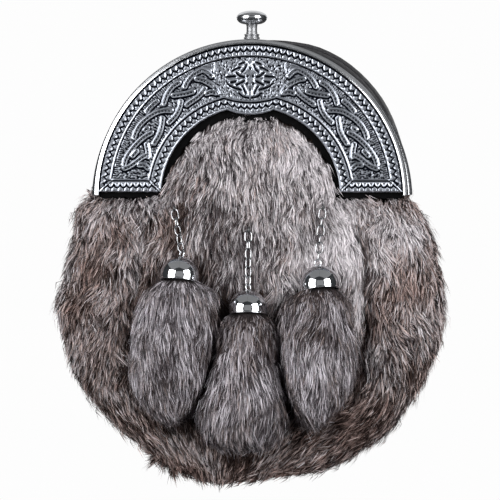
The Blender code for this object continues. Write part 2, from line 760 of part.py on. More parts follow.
def make_chain(side, start, end, count, twist_deg):
    """Links from the anchor's eye to the cap's eye, each turned a quarter from the last."""
    along = (end - start).normalized()
    for i in range(count):
        link = oval_link(f"chain_link_{side}_{i + 1}")
        place = start + along * (eye_to_link() + LINK_PITCH * i)
        link.matrix_world = Matrix.Translation(place) @ frame_along(-along, link_roll(i, twist_deg))


def make_anchor(side, eye_centre):
    """A stud on the hide with an eye that carries the chain."""
    bm = turned([(0, 0), (ANCHOR_R, 0), (ANCHOR_R, ANCHOR_THICK), (0, ANCHOR_THICK)], 14)
    stud = make_object(f"chain_anchor_{side}", bm, "bright_metal")
    eye = make_object(f"anchor_eye_{side}", eye_ring(), "bright_metal")
    stud_place = eye_centre + Vector((0, EYE_RISE + ANCHOR_THICK, 0))
    stud.matrix_world = Matrix.Translation(stud_place) @ Matrix.Rotation(math.pi / 2, 4, "X")
    eye.matrix_world = Matrix.Translation(eye_centre) @ Matrix.Rotation(math.pi / 2, 4, "Z")
    combine(stud, eye, "UNION")


def make_tassel_fur(side, rim_z):
    """The tassel's outer form: rounded sections down from inside the cap."""
    rows = TASSEL_ROWS[side]
    top, bottom = rows[0][0], rows[-1][0]
    rings = []
    for i in range(TASSEL_RINGS):
        drop = top + (bottom - top) * (1 - math.cos(math.pi * i / (TASSEL_RINGS - 1))) / 2
        left, right, clear, thick = (smooth_value(rows, drop, k) * MM for k in (1, 2, 3, 4))
        middle, half = (left + right) / 2, (right - left) / 2
        z = rim_z - drop * MM
        back = min(pouch_front_at(x, z) for x in (left, middle, right)) - clear
        depth_mid, depth_half = back - thick / 2, thick / 2
        ring = []
        for k in range(TASSEL_SIDES):
            a = math.tau * k / TASSEL_SIDES
            ring.append((middle + half * math.cos(a), depth_mid + depth_half * math.sin(a), z))
        rings.append(ring)
    make_object(f"tassel_fur_{side}", skin(rings), "tassel_fur", sharp=60)


def make_tassels():
    for side, upper_x, dome_x, dome_z, tilt, links, twist in TASSELS:
        x, z = dome_x * MM, dome_z * MM
        centre = Vector((x, pouch_front_at(x, z) - CAP_CLEAR - CAP_R, z))
        axis = cap_axis(tilt)
        make_cap(side, centre, tilt, link_roll(links, twist))
        low_eye = centre + axis * (CAP_R + EYE_RISE)
        high_eye = upper_eye(low_eye, upper_x * MM, links)
        make_anchor(side, high_eye)
        make_chain(side, high_eye, low_eye, links, twist)
        rim = centre - axis * CAP_SKIRT
        make_tassel_fur(side, rim.z)


def main():
    clear_scene()
    make_cantle_plate()
    make_underlay()
    make_frames()
    make_knob()
    make_gusset()
    make_back_panel()
    make_strap_loops()
    make_fur_pouch()
    make_tassels()


main()
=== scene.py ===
"""Full-dress sporran pouch: rabbit fur, a cast cantle with knotwork, a push-button knob and three tassels on chains.

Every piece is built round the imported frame, in metres. Run as a script it makes the whole scene; its panel lists
the same steps in the 3D view's sidebar.
"""

import math

import bmesh
import bpy
import numpy as np
from mathutils import Matrix, Vector
from mathutils.bvhtree import BVHTree


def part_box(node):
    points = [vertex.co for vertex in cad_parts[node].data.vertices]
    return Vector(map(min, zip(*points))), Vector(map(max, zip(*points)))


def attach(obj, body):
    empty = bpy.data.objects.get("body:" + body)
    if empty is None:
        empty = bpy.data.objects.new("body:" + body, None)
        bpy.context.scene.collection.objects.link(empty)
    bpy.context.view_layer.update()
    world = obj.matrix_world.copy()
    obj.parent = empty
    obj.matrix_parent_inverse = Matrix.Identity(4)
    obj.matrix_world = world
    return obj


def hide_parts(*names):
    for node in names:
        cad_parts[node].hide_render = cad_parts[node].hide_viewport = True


bl_info = {
    "name": "Sporran Pouch",
    "version": (1, 0, 0),
    "blender": (4, 5, 0),
    "location": "View3D > Sidebar > Sporran",
    "description": "Builds a fur sporran pouch with a cast cantle and three tassels",
    "category": "Add Mesh",
}

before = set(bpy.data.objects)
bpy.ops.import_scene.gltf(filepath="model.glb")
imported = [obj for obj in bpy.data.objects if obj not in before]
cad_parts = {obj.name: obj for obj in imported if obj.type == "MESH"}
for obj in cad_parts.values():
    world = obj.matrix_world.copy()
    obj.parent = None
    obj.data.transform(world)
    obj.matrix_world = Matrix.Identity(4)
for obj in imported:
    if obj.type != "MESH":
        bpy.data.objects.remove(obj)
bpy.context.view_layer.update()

MM = 0.001

# --- sizes shared with the frame, millimetres

ARCH_Z = -44.0  # height of the arch's centre
BAND_R, BAND_WALL, BAND_END = 75.3, 2.3, -43.0
FRONT_BAND = (-32.1, -24.1)
BACK_BAND = (-23.8, -16.8)
BACK_BAND_TOP_R, BACK_BAND_SIDE_R = 75.4, 77.2
PLATE_R, OPENING_R, PLATE_END = 72.7, 43.0, -41.6
PLATE_FACE, PLATE_BACK = -31.85, -29.6
LOBE_HALF, LOBE_DROP = 11.0, 2.2
KNOB_Y = -20.3
HIDE_FRONT = -27.5  # of the flat hide behind the opening
PANEL_FRONT = -2.2
PHOTO_STEP = 0.478  # one step of the drawing that the cantle was set out on

POUCH_ROWS = (  # height, left and right edge, front
    (-43.3, -77.0, 76.0, -27.3),
    (-45.6, -81.5, 78.8, -27.4),
    (-48.5, -83.8, 80.2, -33.5),
    (-53.0, -86.2, 82.5, -37.0),
    (-65.0, -87.3, 87.8, -39.5),
    (-84.0, -91.8, 91.4, -39.8),
    (-96.0, -95.0, 92.8, -40.0),
    (-104.0, -94.6, 92.4, -40.4),
    (-113.0, -91.2, 90.6, -41.0),
    (-128.0, -86.2, 84.8, -42.0),
    (-142.5, -76.8, 76.2, -42.0),
    (-155.0, -64.0, 68.5, -40.5),
    (-163.0, -53.0, 55.5, -38.0),
    (-168.0, -47.0, 50.0, -35.5),
    (-172.0, -41.0, 39.5, -32.5),
    (-175.0, -34.0, 13.0, -30.0),
    (-178.0, -28.0, -6.0, -27.0),
    (-180.5, -24.0, -15.0, -24.0),
)
POUCH_SQUARE = 2.7
POUCH_BACK = -2.5
ROLL_RISE, ROLL_AT, ROLL_WIDTH = 3.0, 0.79, 0.13
GROOVE_DEPTH, GROOVE_AT, GROOVE_WIDTH = 4.6, 0.61, 0.042
NECK_CENTRE, NECK_HALF, NECK_HEIGHT, NECK_BULGE = -46.0, 38.0, 36.1, 10.5
NECK_GRID_R, NECK_GRID_TOP, NECK_GRID_LOW = 44.0, -6.0, -80.0

WIRE, LINK_R, LINK_STRETCH, EYE_R, EYE_RISE = 0.7, 1.6, 1.0, 1.5, 1.4
STUD_R, STUD_THICK = 0.704, 0.6
CAP_R, CAP_SKIRT, CAP_WALL, CAP_LEAN = 9.4, 2.6, 0.8, math.radians(12)
TASSELS = {  # dome x and z, sideways tilt, links, twist of the chain
    "left": (-32.3, -81.2, 5.0, 5, 45.0),
    "middle": (0.1, -97.0, 0.0, 6, 45.0),
    "right": (34.2, -85.2, -6.0, 6, 0.0),
}

# --- what a user would change


class SporranSizes(bpy.types.PropertyGroup):
    pile_length: bpy.props.FloatProperty(
        name="Pile length", description="Length of the pouch's hair", default=0.0094, unit="LENGTH", subtype="DISTANCE"
    )
    pile_depth: bpy.props.FloatProperty(
        name="Pile depth", description="From the hide to the tips", default=0.0040, unit="LENGTH", subtype="DISTANCE"
    )
    hair_width: bpy.props.FloatProperty(
        name="Hair width", description="Width of one hair", default=0.00041, unit="LENGTH", subtype="DISTANCE"
    )
    pouch_hairs: bpy.props.IntProperty(
        name="Pouch hairs", description="About how many hairs the pouch has", default=275000
    )
    tassel_hairs: bpy.props.IntProperty(
        name="Tassel hairs", description="Hairs on each tassel", default=34000
    )
    relief_height: bpy.props.FloatProperty(
        name="Relief height", description="Height of the cantle's knotwork", default=0.0008, unit="LENGTH"
    )


class SporranFinishes(bpy.types.PropertyGroup):
    cast_metal: bpy.props.FloatVectorProperty(
        name="Cast metal", description="Worn metal of the cantle", default=(0.51, 0.54, 0.605), subtype="COLOR"
    )
    patina: bpy.props.FloatVectorProperty(
        name="Patina", description="Dark left in the hollows", default=(0.0035, 0.0043, 0.0075), subtype="COLOR"
    )
    chrome: bpy.props.FloatVectorProperty(
        name="Chrome", description="Polished metal", default=(0.62, 0.63, 0.65), subtype="COLOR"
    )
    leather: bpy.props.FloatVectorProperty(
        name="Leather", description="Black leather", default=(0.0055, 0.0053, 0.0058), subtype="COLOR"
    )
    floor: bpy.props.FloatVectorProperty(
        name="Floor", description="Pale floor", default=(0.985, 0.985, 0.985), subtype="COLOR"
    )


# --- materials


class Signal:
    """A number that changes over a surface. Arithmetic on it adds Math nodes."""

    def __init__(self, finish, socket):
        self.finish, self.socket = finish, socket

    def maths(self, operation, *values):
        sockets = dict(enumerate(values))
        return Signal(self.finish, self.finish.node("ShaderNodeMath", {"operation": operation}, sockets).outputs[0])

    def __add__(self, other):
        return self.maths("ADD", self, other)

    def __sub__(self, other):
        return self.maths("SUBTRACT", self, other)

    def __rsub__(self, other):
        return self.maths("SUBTRACT", other, self)

    def __mul__(self, other):
        return self.maths("MULTIPLY", self, other)

    __radd__, __rmul__ = __add__, __mul__

    def floor(self):
        return self.maths("FLOOR", self)

    def between(self, low, high, start=0.0, end=1.0):
        """start below low, end above high, and smooth between."""
        values = {"Value": self, "From Min": low, "From Max": high, "To Min": start, "To Max": end}
        made = self.finish.node("ShaderNodeMapRange", {"interpolation_type": "SMOOTHSTEP"}, values)
        return Signal(self.finish, made.outputs[0])


class Finish:
    """One procedural material. Constants go straight onto its shader."""

    def __init__(self, name, **constants):
        self.material = bpy.data.materials.new(name)
        self.material.use_nodes = True
        self.tree = self.material.node_tree
        self.shader = self.tree.nodes["Principled BSDF"]
        for key, value in constants.items():
            self.feed(key.replace("_", " ").title().replace("Ior", "IOR"), value)

    def node(self, kind, settings=None, sockets=None):
        made = self.tree.nodes.new(kind)
        for key, value in (settings or {}).items():
            if key == "stops":
                ramp = made.color_ramp
                while len(ramp.elements) < len(value):
                    ramp.elements.new(0.5)
                for stop, (place, colour) in zip(ramp.elements, value):
                    stop.position, stop.color = place, (*colour, 1.0)
            elif key == "interpolation":
                made.color_ramp.interpolation = value
            else:
                setattr(made, key, value)
        for key, value in (sockets or {}).items():
            self.plug(made.inputs[key], value)
        return made

    def plug(self, target, value):
        if isinstance(value, Signal):
            value = value.socket
        if isinstance(value, bpy.types.NodeSocket):
            self.tree.links.new(value, target)
        elif hasattr(value, "__len__") and len(value) == 3 and target.type == "RGBA":
            target.default_value = (*value, 1.0)
        else:
            target.default_value = value

    def feed(self, name, value):
        self.plug(self.shader.inputs[name], value)

    def place(self, scale=(1, 1, 1), turn=(0, 0, 0)):
        """Object coordinates, scaled and turned."""
        at = self.node("ShaderNodeTexCoord").outputs["Object"]
        sockets = {"Vector": at, "Scale": scale, "Rotation": turn}
        return self.node("ShaderNodeMapping", None, sockets).outputs[0]

    def noise(self, scale, detail, place=None):
        sockets = {"Vector": place or self.place(), "Scale": scale, "Detail": detail, "Roughness": 0.55}
        return Signal(self, self.node("ShaderNodeTexNoise", None, sockets).outputs[0])

    def cells(self, scale):
        sockets = {"Vector": self.place(), "Scale": scale}
        return Signal(self, self.node("ShaderNodeTexVoronoi", None, sockets).outputs[0])

    def mix(self, factor, first, second):
        sockets = {0: factor, 6: first, 7: second}
        return self.node("ShaderNodeMix", {"data_type": "RGBA"}, sockets).outputs[2]

    def done(self, colour, roughness, height=None, distance=0.0, strength=1.0):
        """The material, fed with what changes over its surface."""
        self.feed("Base Color", colour)
        self.feed("Roughness", roughness)
        if height is not None:
            sockets = {"Height": height, "Distance": distance, "Strength": strength}
            self.feed("Normal", self.node("ShaderNodeBump", None, sockets).outputs[0])
        return self.material


def dimmed(colour, share):
    return [c * share for c in colour]


def cast_finish(finishes):
    """Worn bright on the high places, black patina in the hollows and painted shade on the relief's shadow sides, all
    read from an attribute the piece carries.
    """
    f = Finish("cast_metal", metallic=1.0)
    wear = Signal(f, f.node("ShaderNodeAttribute", {"attribute_name": "wear"}).outputs["Fac"])
    patina_and_shade, cloud = f.noise(900.0, 4.0), f.noise(160.0, 3.0)
    worn_and_lit = (wear + (patina_and_shade - 0.5) * 0.2).between(0.24, 0.84)
    bright = f.mix(cloud.between(0.3, 0.7), dimmed(finishes.cast_metal, 0.84), finishes.cast_metal)
    roughness = worn_and_lit.between(0.0, 1.0, 0.50, 0.32) + (patina_and_shade - 0.5) * 0.10
    return f.done(f.mix(worn_and_lit, finishes.patina, bright), roughness, f.noise(2600.0, 2.0), 0.00003)


def chrome_finish(name, finishes, rough, painted_shading, dull_below=None, haze_depth=0.08):
    """Polished metal with fine handling marks, duller below a height in metres where one is given, and darkened there
    as painted shade. The shading factor scales the colour for each piece: painted light above 1, painted shade below.
    """
    f = Finish(name, metallic=1.0)
    haze = f.noise(120.0, 4.0)
    scratch = f.noise(700.0, 2.0, f.place((1, 1, 14), (0.5, 0.3, 0.2)))
    tone = dimmed(finishes.chrome, painted_shading)
    colour = f.mix(haze.between(0.3, 0.75), dimmed(tone, 0.86), tone)
    roughness = haze.between(0.35, 0.8, rough, rough + haze_depth) + scratch.between(0.55, 0.75, 0.0, haze_depth * 0.6)
    if dull_below:
        height = Signal(f, f.node("ShaderNodeSeparateXYZ", None, {0: f.place()}).outputs[2])
        dull = height.between(dull_below - 0.001, dull_below + 0.001, 1.0, 0.0)
        colour, roughness = f.mix(dull, colour, dimmed(tone, 0.42)), roughness + dull * 0.26
    return f.done(colour, roughness, scratch, 0.000002)


def leather_finish(name, finishes, painted_shading, shine, rough=0.5):
    """Black leather: pebbled grain, pores and rubbed high spots. The shading factor scales the colour for each piece:
    painted light above 1, painted shade below.
    """
    f = Finish(name, coat_weight=0.2 * shine, coat_roughness=0.3, specular_ior_level=shine)
    pebble, crease = f.cells(1500.0), f.noise(420.0, 5.0)
    dye_with_painted_shading = dimmed(finishes.leather, painted_shading)
    colour = f.mix(crease.between(0.45, 0.75), dye_with_painted_shading, dimmed(dye_with_painted_shading, 1.8))
    roughness = pebble.between(0.0, 0.6, rough + 0.08, rough - 0.08)
    return f.done(colour, roughness, pebble * 0.7 + crease * 0.8, 0.00012, 0.8)


def thread_finish():
    f = Finish("black_thread")
    twist = f.noise(2400.0, 2.0, f.place((1, 3, 1)))
    colour = f.mix(twist, (0.10, 0.10, 0.105), (0.26, 0.255, 0.26))
    return f.done(colour, twist.between(0.3, 0.7, 0.5, 0.75), twist, 0.00005)


def hide_finish(name, dark, light):
    """The skin and underfur seen between the hairs."""
    f = Finish(name, specular_ior_level=0.1)
    fluff = f.noise(1100.0, 4.0, f.place((1, 1, 0.35)))
    patch = f.noise(90.0, 3.0).between(0.35, 0.65)
    colour = f.mix(patch, f.mix(fluff.between(0.3, 0.7), dark, light), dimmed(dark, 0.6))
    return f.done(colour, fluff.between(0.2, 0.8, 0.8, 0.95), fluff, 0.0006)


HAIR_BANDS = 4


def hair_finish(name, families, root):
    """Hair, coloured by the OFBake map: tone along U; along V a band for each family, root to tip within it."""
    f = Finish(name, specular_ior_level=0.12)
    split = f.node("ShaderNodeSeparateXYZ", None, {0: f.node("ShaderNodeUVMap", {"uv_map": "OFBake"}).outputs[0]})
    tone, up = (Signal(f, split.outputs[k]) for k in (0, 1))

    def bands(k):
        stops = [(i / HAIR_BANDS, pair[k]) for i, pair in enumerate(families)]
        return f.node("ShaderNodeValToRGB", {"interpolation": "CONSTANT", "stops": stops}, {0: up}).outputs[0]

    dark, light = bands(0), bands(1)
    along = up * HAIR_BANDS - (up * HAIR_BANDS).floor()
    ticked = f.mix(along.between(0.84, 0.98, 0.0, 0.18), f.mix(tone, dark, light), dark)  # darker tips
    return f.done(f.mix(along.between(0.12, 0.68), root, ticked), tone.between(0.0, 1.0, 0.62, 0.46))


# --- making pieces


def mesh_from(bm, name, sharp=None, mend=True):
    """A smooth mesh from a bmesh, facing outwards, with sharp edges past an angle where one is given."""
    if mend:
        bmesh.ops.remove_doubles(bm, verts=bm.verts, dist=1e-7)
        bmesh.ops.recalc_face_normals(bm, faces=bm.faces)
    mesh = bpy.data.meshes.new(name)
    bm.to_mesh(mesh)
    bm.free()
    mesh.shade_smooth()
    if sharp:
        mesh.set_sharp_from_angle(angle=math.radians(sharp))
    return mesh


def piece(name, shape, material, stands_for=(), body="pouch", sharp=None, mend=True):
    """Links a mesh, or a bmesh made into one, as one piece that rides on a body of the frame."""
    mesh = shape if isinstance(shape, bpy.types.Mesh) else mesh_from(shape, name, sharp, mend)
    thing = bpy.data.objects.new(name, mesh)
    bpy.context.scene.collection.objects.link(thing)
    mesh.materials.append(material)
    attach(thing, body)
    if stands_for:
        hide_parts(*stands_for)
    return mesh


def positions(mesh):
    co = np.empty(len(mesh.vertices) * 3)
    mesh.vertices.foreach_get("co", co)
    return co.reshape(-1, 3)


def spun(bm, geom, axis, steps):
    """Spins points and edges once round an axis and joins the ends."""
    bmesh.ops.spin(bm, geom=geom, cent=(0, 0, 0), axis=axis, angle=math.tau, steps=steps, use_merge=True)
    bmesh.ops.remove_doubles(bm, verts=bm.verts, dist=1e-7)
    return bm


def turned(profile, steps):
    """A closed body from a profile of (radius, height) points in millimetres, turned round Z."""
    bm = bmesh.new()
    points = [bm.verts.new((radius * MM, 0, height * MM)) for radius, height in profile]
    edges = [bm.edges.new(pair) for pair in zip(points, points[1:])]
    if profile[0][0] > 1e-6 or profile[-1][0] > 1e-6:
        edges.append(bm.edges.new((points[-1], points[0])))
    return spun(bm, points + edges, (0, 0, 1), steps)


def wire_ring(radius, stretch=0.0):
    """A wire ring round Y, drawn out along Z."""
    bm = bmesh.new()
    bmesh.ops.create_circle(bm, segments=10, radius=WIRE / 2 * MM)
    bmesh.ops.translate(bm, verts=bm.verts, vec=(radius * MM, 0, 0))
    spun(bm, bm.verts[:] + bm.edges[:], (0, 1, 0), 28)
    for vertex in bm.verts:
        height = vertex.co.z / (radius * MM)
        vertex.co.z += stretch * MM * math.copysign(min(1.0, abs(height) * 3.0), height)
    return bm


def moved(bm, matrix):
    bmesh.ops.transform(bm, matrix=matrix, verts=bm.verts)
    return bm


def added(bm, other, matrix):
    """Adds a second bmesh, placed by a matrix, to the first."""
    mesh = bpy.data.meshes.new("joined")
    moved(other, matrix).to_mesh(mesh)
    other.free()
    bm.from_mesh(mesh)
    bpy.data.meshes.remove(mesh)


def turn_to(x, y, z):
    """A rotation to three directions."""
    return Matrix((x, y, z)).transposed().to_4x4()


def grid_sheet(columns, rows):
    """A flat grid of one by one, and the places of its points."""
    bm = bmesh.new()
    bmesh.ops.create_grid(bm, x_segments=columns, y_segments=rows, size=0.5)
    return bm, np.array([vertex.co[:] for vertex in bm.verts])


def rim_of(bm):
    return [edge for edge in bm.edges if edge.is_boundary]


def shaped(bm, places, wall_y):
    """Moves a sheet's points to places in millimetres and draws its rim back to a depth."""
    for vertex, place in zip(bm.verts, places * MM):
        vertex.co = place
    for part in bmesh.ops.extrude_edge_only(bm, edges=rim_of(bm))["geom"]:
        if isinstance(part, bmesh.types.BMVert):
            part.co.y = wall_y * MM


def closed(bm, edges):
    """Fills a loop of edges and turns all faces outwards."""
    bmesh.ops.edgeloop_fill(bm, edges=edges)
    bmesh.ops.triangulate(bm, faces=[f for f in bm.faces if len(f.verts) > 4])
    bmesh.ops.recalc_face_normals(bm, faces=bm.faces)


def pouch_column(column, at):
    """A smooth curve through one column of the pouch's rows, at many heights."""
    table = np.array(POUCH_ROWS)[::-1]
    fine = np.linspace(table[0, 0], table[-1, 0], 400)
    rough = np.interp(fine, table[:, 0], table[:, column])
    reach = 9
    kernel = np.hanning(2 * reach + 3)[1:-1]
    eased = np.convolve(np.pad(rough, reach, mode="edge"), kernel / kernel.sum(), mode="valid")
    return np.interp(at, fine, eased)


def hill(value, centre, width):
    return np.exp(-(((value - centre) / width) ** 2))


def ease(value, low, high):
    """0 below low, 1 above high."""
    t = np.clip((value - low) / (high - low), 0, 1)
    return t * t * (3 - 2 * t)


class Waves:
    """A smooth random field: a sum of sines of about one wavelength."""

    def __init__(self, seed, length, count=20):
        rng = np.random.default_rng(seed)
        turn = rng.normal(size=(count, 3))
        turn /= np.linalg.norm(turn, axis=1)[:, None]
        self.turn = turn * math.tau / (length * rng.uniform(0.6, 1.6, count))[:, None]
        self.phase = rng.uniform(0, math.tau, count)

    def __call__(self, points):
        return np.sin(points @ self.turn.T + self.phase).sum(1) / math.sqrt(len(self.phase) / 2)


# --- cantle

BORDER_OUT, BORDER_IN, BORDER_FOOT = 6.1, 6.8, 6.2
TEETH_OUT, TEETH_IN, TOOTH = 71, 47, 3.05
KNOT_HALF = 1.30
RELIEF_DRAWN = 0.0012  # the relief's scale as it was drawn, metres
ALONG, ACROSS = 880, 106  # cells of the face's grid

KNOTS = (  # centre lines of the left leg's bands, on the drawing, each with its bright edge to the right of its run
    ((209, 71), (203, 70.3), (197, 72.6), (191, 77), (187, 82), (184.3, 87)),
    ((211.5, 76.5), (207.5, 72.5), (203, 70.5)),
    ((212, 86), (207.5, 83), (202, 80.2), (196.5, 79.3)),
    ((217.8, 93.2), (215.5, 89), (211.5, 84.7), (207.5, 82.5)),
    ((216, 93.3), (211, 92.3), (206.5, 93.8)),
    ((204.5, 89), (200.8, 94), (196, 98.3), (191, 101.8), (186.5, 105)),
    ((192.5, 92), (186, 93.8), (179, 95), (173, 95.6)),
    ((178.5, 83), (175, 85), (171.3, 88), (168, 92.5), (165.2, 98), (163.2, 104)),
    ((180.6, 101.5), (179.4, 107), (177.2, 112.5), (173.4, 118), (168.5, 122.8)),
    ((162.2, 118.5), (161.2, 125), (160, 131), (157.4, 137), (153.4, 143.5)),
    ((170.5, 110.8), (163, 110.8), (155.5, 112.8), (148, 117.3), (142, 122.3), (137.2, 128.2), (134.4, 134))
    + ((133.2, 138),),
    ((156.5, 101.5), (152.3, 104.8), (148.7, 108.5), (146.2, 112)),
    ((150.8, 133), (145.3, 136), (139.7, 140.3), (133.7, 146.3), (128.7, 152.8), (125, 159.3), (123.2, 165.3)),
    ((146.5, 155), (141, 157.8), (134.7, 162.6), (128.5, 166.8), (123.8, 168.6)),
    ((148, 157), (147.3, 150.5), (146, 144.5)),
    ((147.7, 168.6), (143.5, 165.2), (138.8, 165.2)),
    ((147, 128.5), (144.5, 130)),
    ((136, 151.5), (132, 156)),
)
FLARE = (((214.4, 62), (214.8, 68), (213.2, 74.5)), ((208, 60.5), (202, 64), (197, 66)), ((209.5, 64), (202, 67)))
SLOTS = (  # cuts of the medallion's left half, painted dark as shade in the piercings
    ((238.9, 64.7), (244.6, 62.4)),
    ((246.3, 65.6), (244.6, 69.4), (241.7, 72.5)),
    ((232.0, 71.3), (236, 69.0), (240.0, 67.9)),
    ((225.1, 77.4), (235.4, 76.5)),
    ((236.3, 73.6), (240, 76.4), (244.0, 77.6)),
    ((225.7, 82.0), (229.5, 86), (233.7, 88.0), (241.2, 90.3)),
    ((230.3, 82.8), (235.4, 82.0)),
    ((236.3, 85.4), (244.0, 81.7)),
    ((242.0, 86.5), (245.8, 93.7)),
    ((238.9, 93.7), (243, 97), (248.6, 98.3)),
)
DOTS = ((250.1, 69.0), (247.2, 76.5), (247.2, 84.2), (250.1, 90.0))
LENS = ((224.6, 77.3), (231, 70.2), (236.5, 66.8), (238, 63.6), (243, 60.6), (247, 60.8), (250, 57.5))
LENS_LOW = ((224.6, 77.3), (228, 85.5), (236, 93), (244, 98), (250, 99.4))


def on_plate(points):
    """Points of the drawing as x and z on the plate, millimetres."""
    return np.array([((x - 250) * PHOTO_STEP, (105 - y) * PHOTO_STEP) for x, y in points])


def smooth_line(points, parts=10):
    """A curve through points (Catmull-Rom)."""
    if len(points) == 2:
        return points[0] + (points[1] - points[0]) * np.linspace(0, 1, parts)[:, None]
    ends = np.vstack([2 * points[0] - points[1], points, 2 * points[-1] - points[-2]])
    out = []
    t = np.linspace(0, 1, parts, endpoint=False)[:, None]
    for a, b, c, d in zip(ends, ends[1:], ends[2:], ends[3:]):
        out.append(0.5 * (2 * b + (c - a) * t + (2 * a - 5 * b + 4 * c - d) * t**2 + (3 * b - a - 3 * c + d) * t**3))
    return np.vstack(out + [points[-1:]])


def along_line(line, x, z):
    """Distance from a line, distance along it, the side (+ is left of it) and its length."""
    best, travel, side, gone = np.full(x.shape, 1e9), np.zeros(x.shape), np.zeros(x.shape), 0.0
    for (ax, az), (bx, bz) in zip(line, line[1:]):
        dx, dz = bx - ax, bz - az
        size = math.hypot(dx, dz)
        t = np.clip(((x - ax) * dx + (z - az) * dz) / size**2, 0, 1)
        away = np.hypot(x - ax - t * dx, z - az - t * dz)
        closer = away < best
        best = np.where(closer, away, best)
        travel = np.where(closer, gone + t * size, travel)
        side = np.where(closer, np.sign(dx * (z - az) - dz * (x - ax)), side)
        gone += size
    return best, travel, side, gone


def opening_edge(angle):
    """Distance from the arch's centre to the plate's inner edge, with the lobe at the top."""
    across = np.abs(np.cos(angle))
    lobe_r = (LOBE_HALF**2 + LOBE_DROP**2) / (2 * LOBE_DROP)
    centre = math.sqrt(OPENING_R**2 - LOBE_HALF**2) - LOBE_DROP + lobe_r
    lobe = centre * np.sin(angle) - np.sqrt(np.maximum(lobe_r**2 - (centre * across) ** 2, 0))
    return np.where(across * OPENING_R < LOBE_HALF, lobe, OPENING_R)


def tooth_rows(down, phase):
    """Dished tongues over small domes with a deep zigzag between them, 4.1 mm in all; height, and the patina and
    painted shade in the zigzag and hollows.
    """
    off = 2 * np.abs(phase)
    edge = 0.65 + 1.75 * (1 - off**1.7)
    inside = (edge - down) / np.sqrt(1 + (1.75 * 1.7 * off**0.7 * 2 / TOOTH) ** 2)
    tongue = (0.26 + 0.66 * hill(inside, 0.36, 0.25)) * ease(inside, -0.04, 0.16)
    crown = np.sqrt(np.clip(1 - ((1 - off) / 0.92) ** 2 - ((down - 3.1) / 1.75) ** 2, 0, 1))
    dome = (0.18 + 0.50 * crown) * ease(-inside, 0.30, 0.52)
    patina_and_shade = 1.3 * hill(inside, -0.25, 0.34) + 0.7 * ease(off, 0.82, 1.0) * (down < 0.6)
    patina_and_shade += 0.30 * ease(inside, 0.62, 0.95) + 0.8 * hill(off, 0, 0.20) * ease(down, 2.9, 3.3) * (inside < 0)
    return np.where(inside > 0, tongue, dome), patina_and_shade


def away_from(points, x, z):
    """Distance from a curve of the drawing."""
    return along_line(smooth_line(on_plate(points)), x, z)[0]


RAISED = 0.08  # height past which a place belongs to a band, not to the ground


def knot_bands(left, z):
    """The knots' bands: a bright raised edge, a beaded channel and a low edge, with patina and painted shade beside
    them.
    """
    height, patina_and_shade = np.zeros(z.shape), np.zeros(z.shape)
    for points in KNOTS:
        line = smooth_line(on_plate(points))
        low, high = line.min(0) - 3, line.max(0) + 3
        near = (left > low[0]) & (left < high[0]) & (z > low[1]) & (z < high[1])
        away, travel, side, length = along_line(line, left[near], z[near])
        s = -side * away / KNOT_HALF
        bead = hill(s, -0.12, 0.30) * (0.5 + 0.5 * np.cos(travel * math.tau / 1.62))
        body = np.maximum(1.0 * hill(s, 0.58, 0.34), 0.62 * hill(s, -0.70, 0.20))
        body = np.maximum(body, 0.34 + 0.22 * bead) * ease(KNOT_HALF + 0.12 - away, 0, 0.22)
        body *= 0.80 + 0.20 * np.sin(np.clip(travel / length, 0, 1) * math.pi)
        # painted shade: the low edge's outer side is dark, and the outline is heavier beside the low edge, the bands'
        # shadow side
        channel = 0.92 * hill(s, -0.12, 0.44) * (1 - 0.5 * bead) + 1.1 * ease(-s, 0.86, 0.98)
        outline = ease(away, KNOT_HALF - 0.08, KNOT_HALF + 0.08) * (1 - ease(away, KNOT_HALF + 0.55, KNOT_HALF + 0.95))
        outline *= np.where(s < 0, 1.25, 0.55)
        taller = body > height[near]
        height[near] = np.maximum(height[near], body)
        beside = np.maximum(patina_and_shade[near], outline * (height[near] < 0.1))
        patina_and_shade[near] = np.where(taller, np.where(body > RAISED, channel, outline), beside)
    return height, patina_and_shade


def soften(values, along, across):
    """Blurs a grid of numbers by so many cells each way."""
    for axis, width in ((0, across), (1, along)):
        if width:
            reach = 3 * width
            kernel = np.exp(-0.5 * (np.arange(-reach, reach + 1) / width) ** 2)
            kernel /= kernel.sum()
            pad = [(0, 0), (0, 0)]
            pad[axis] = (reach, reach)
            padded = np.pad(values, pad, mode="edge")
            values = np.apply_along_axis(lambda row: np.convolve(row, kernel, mode="valid"), axis, padded)
    return values


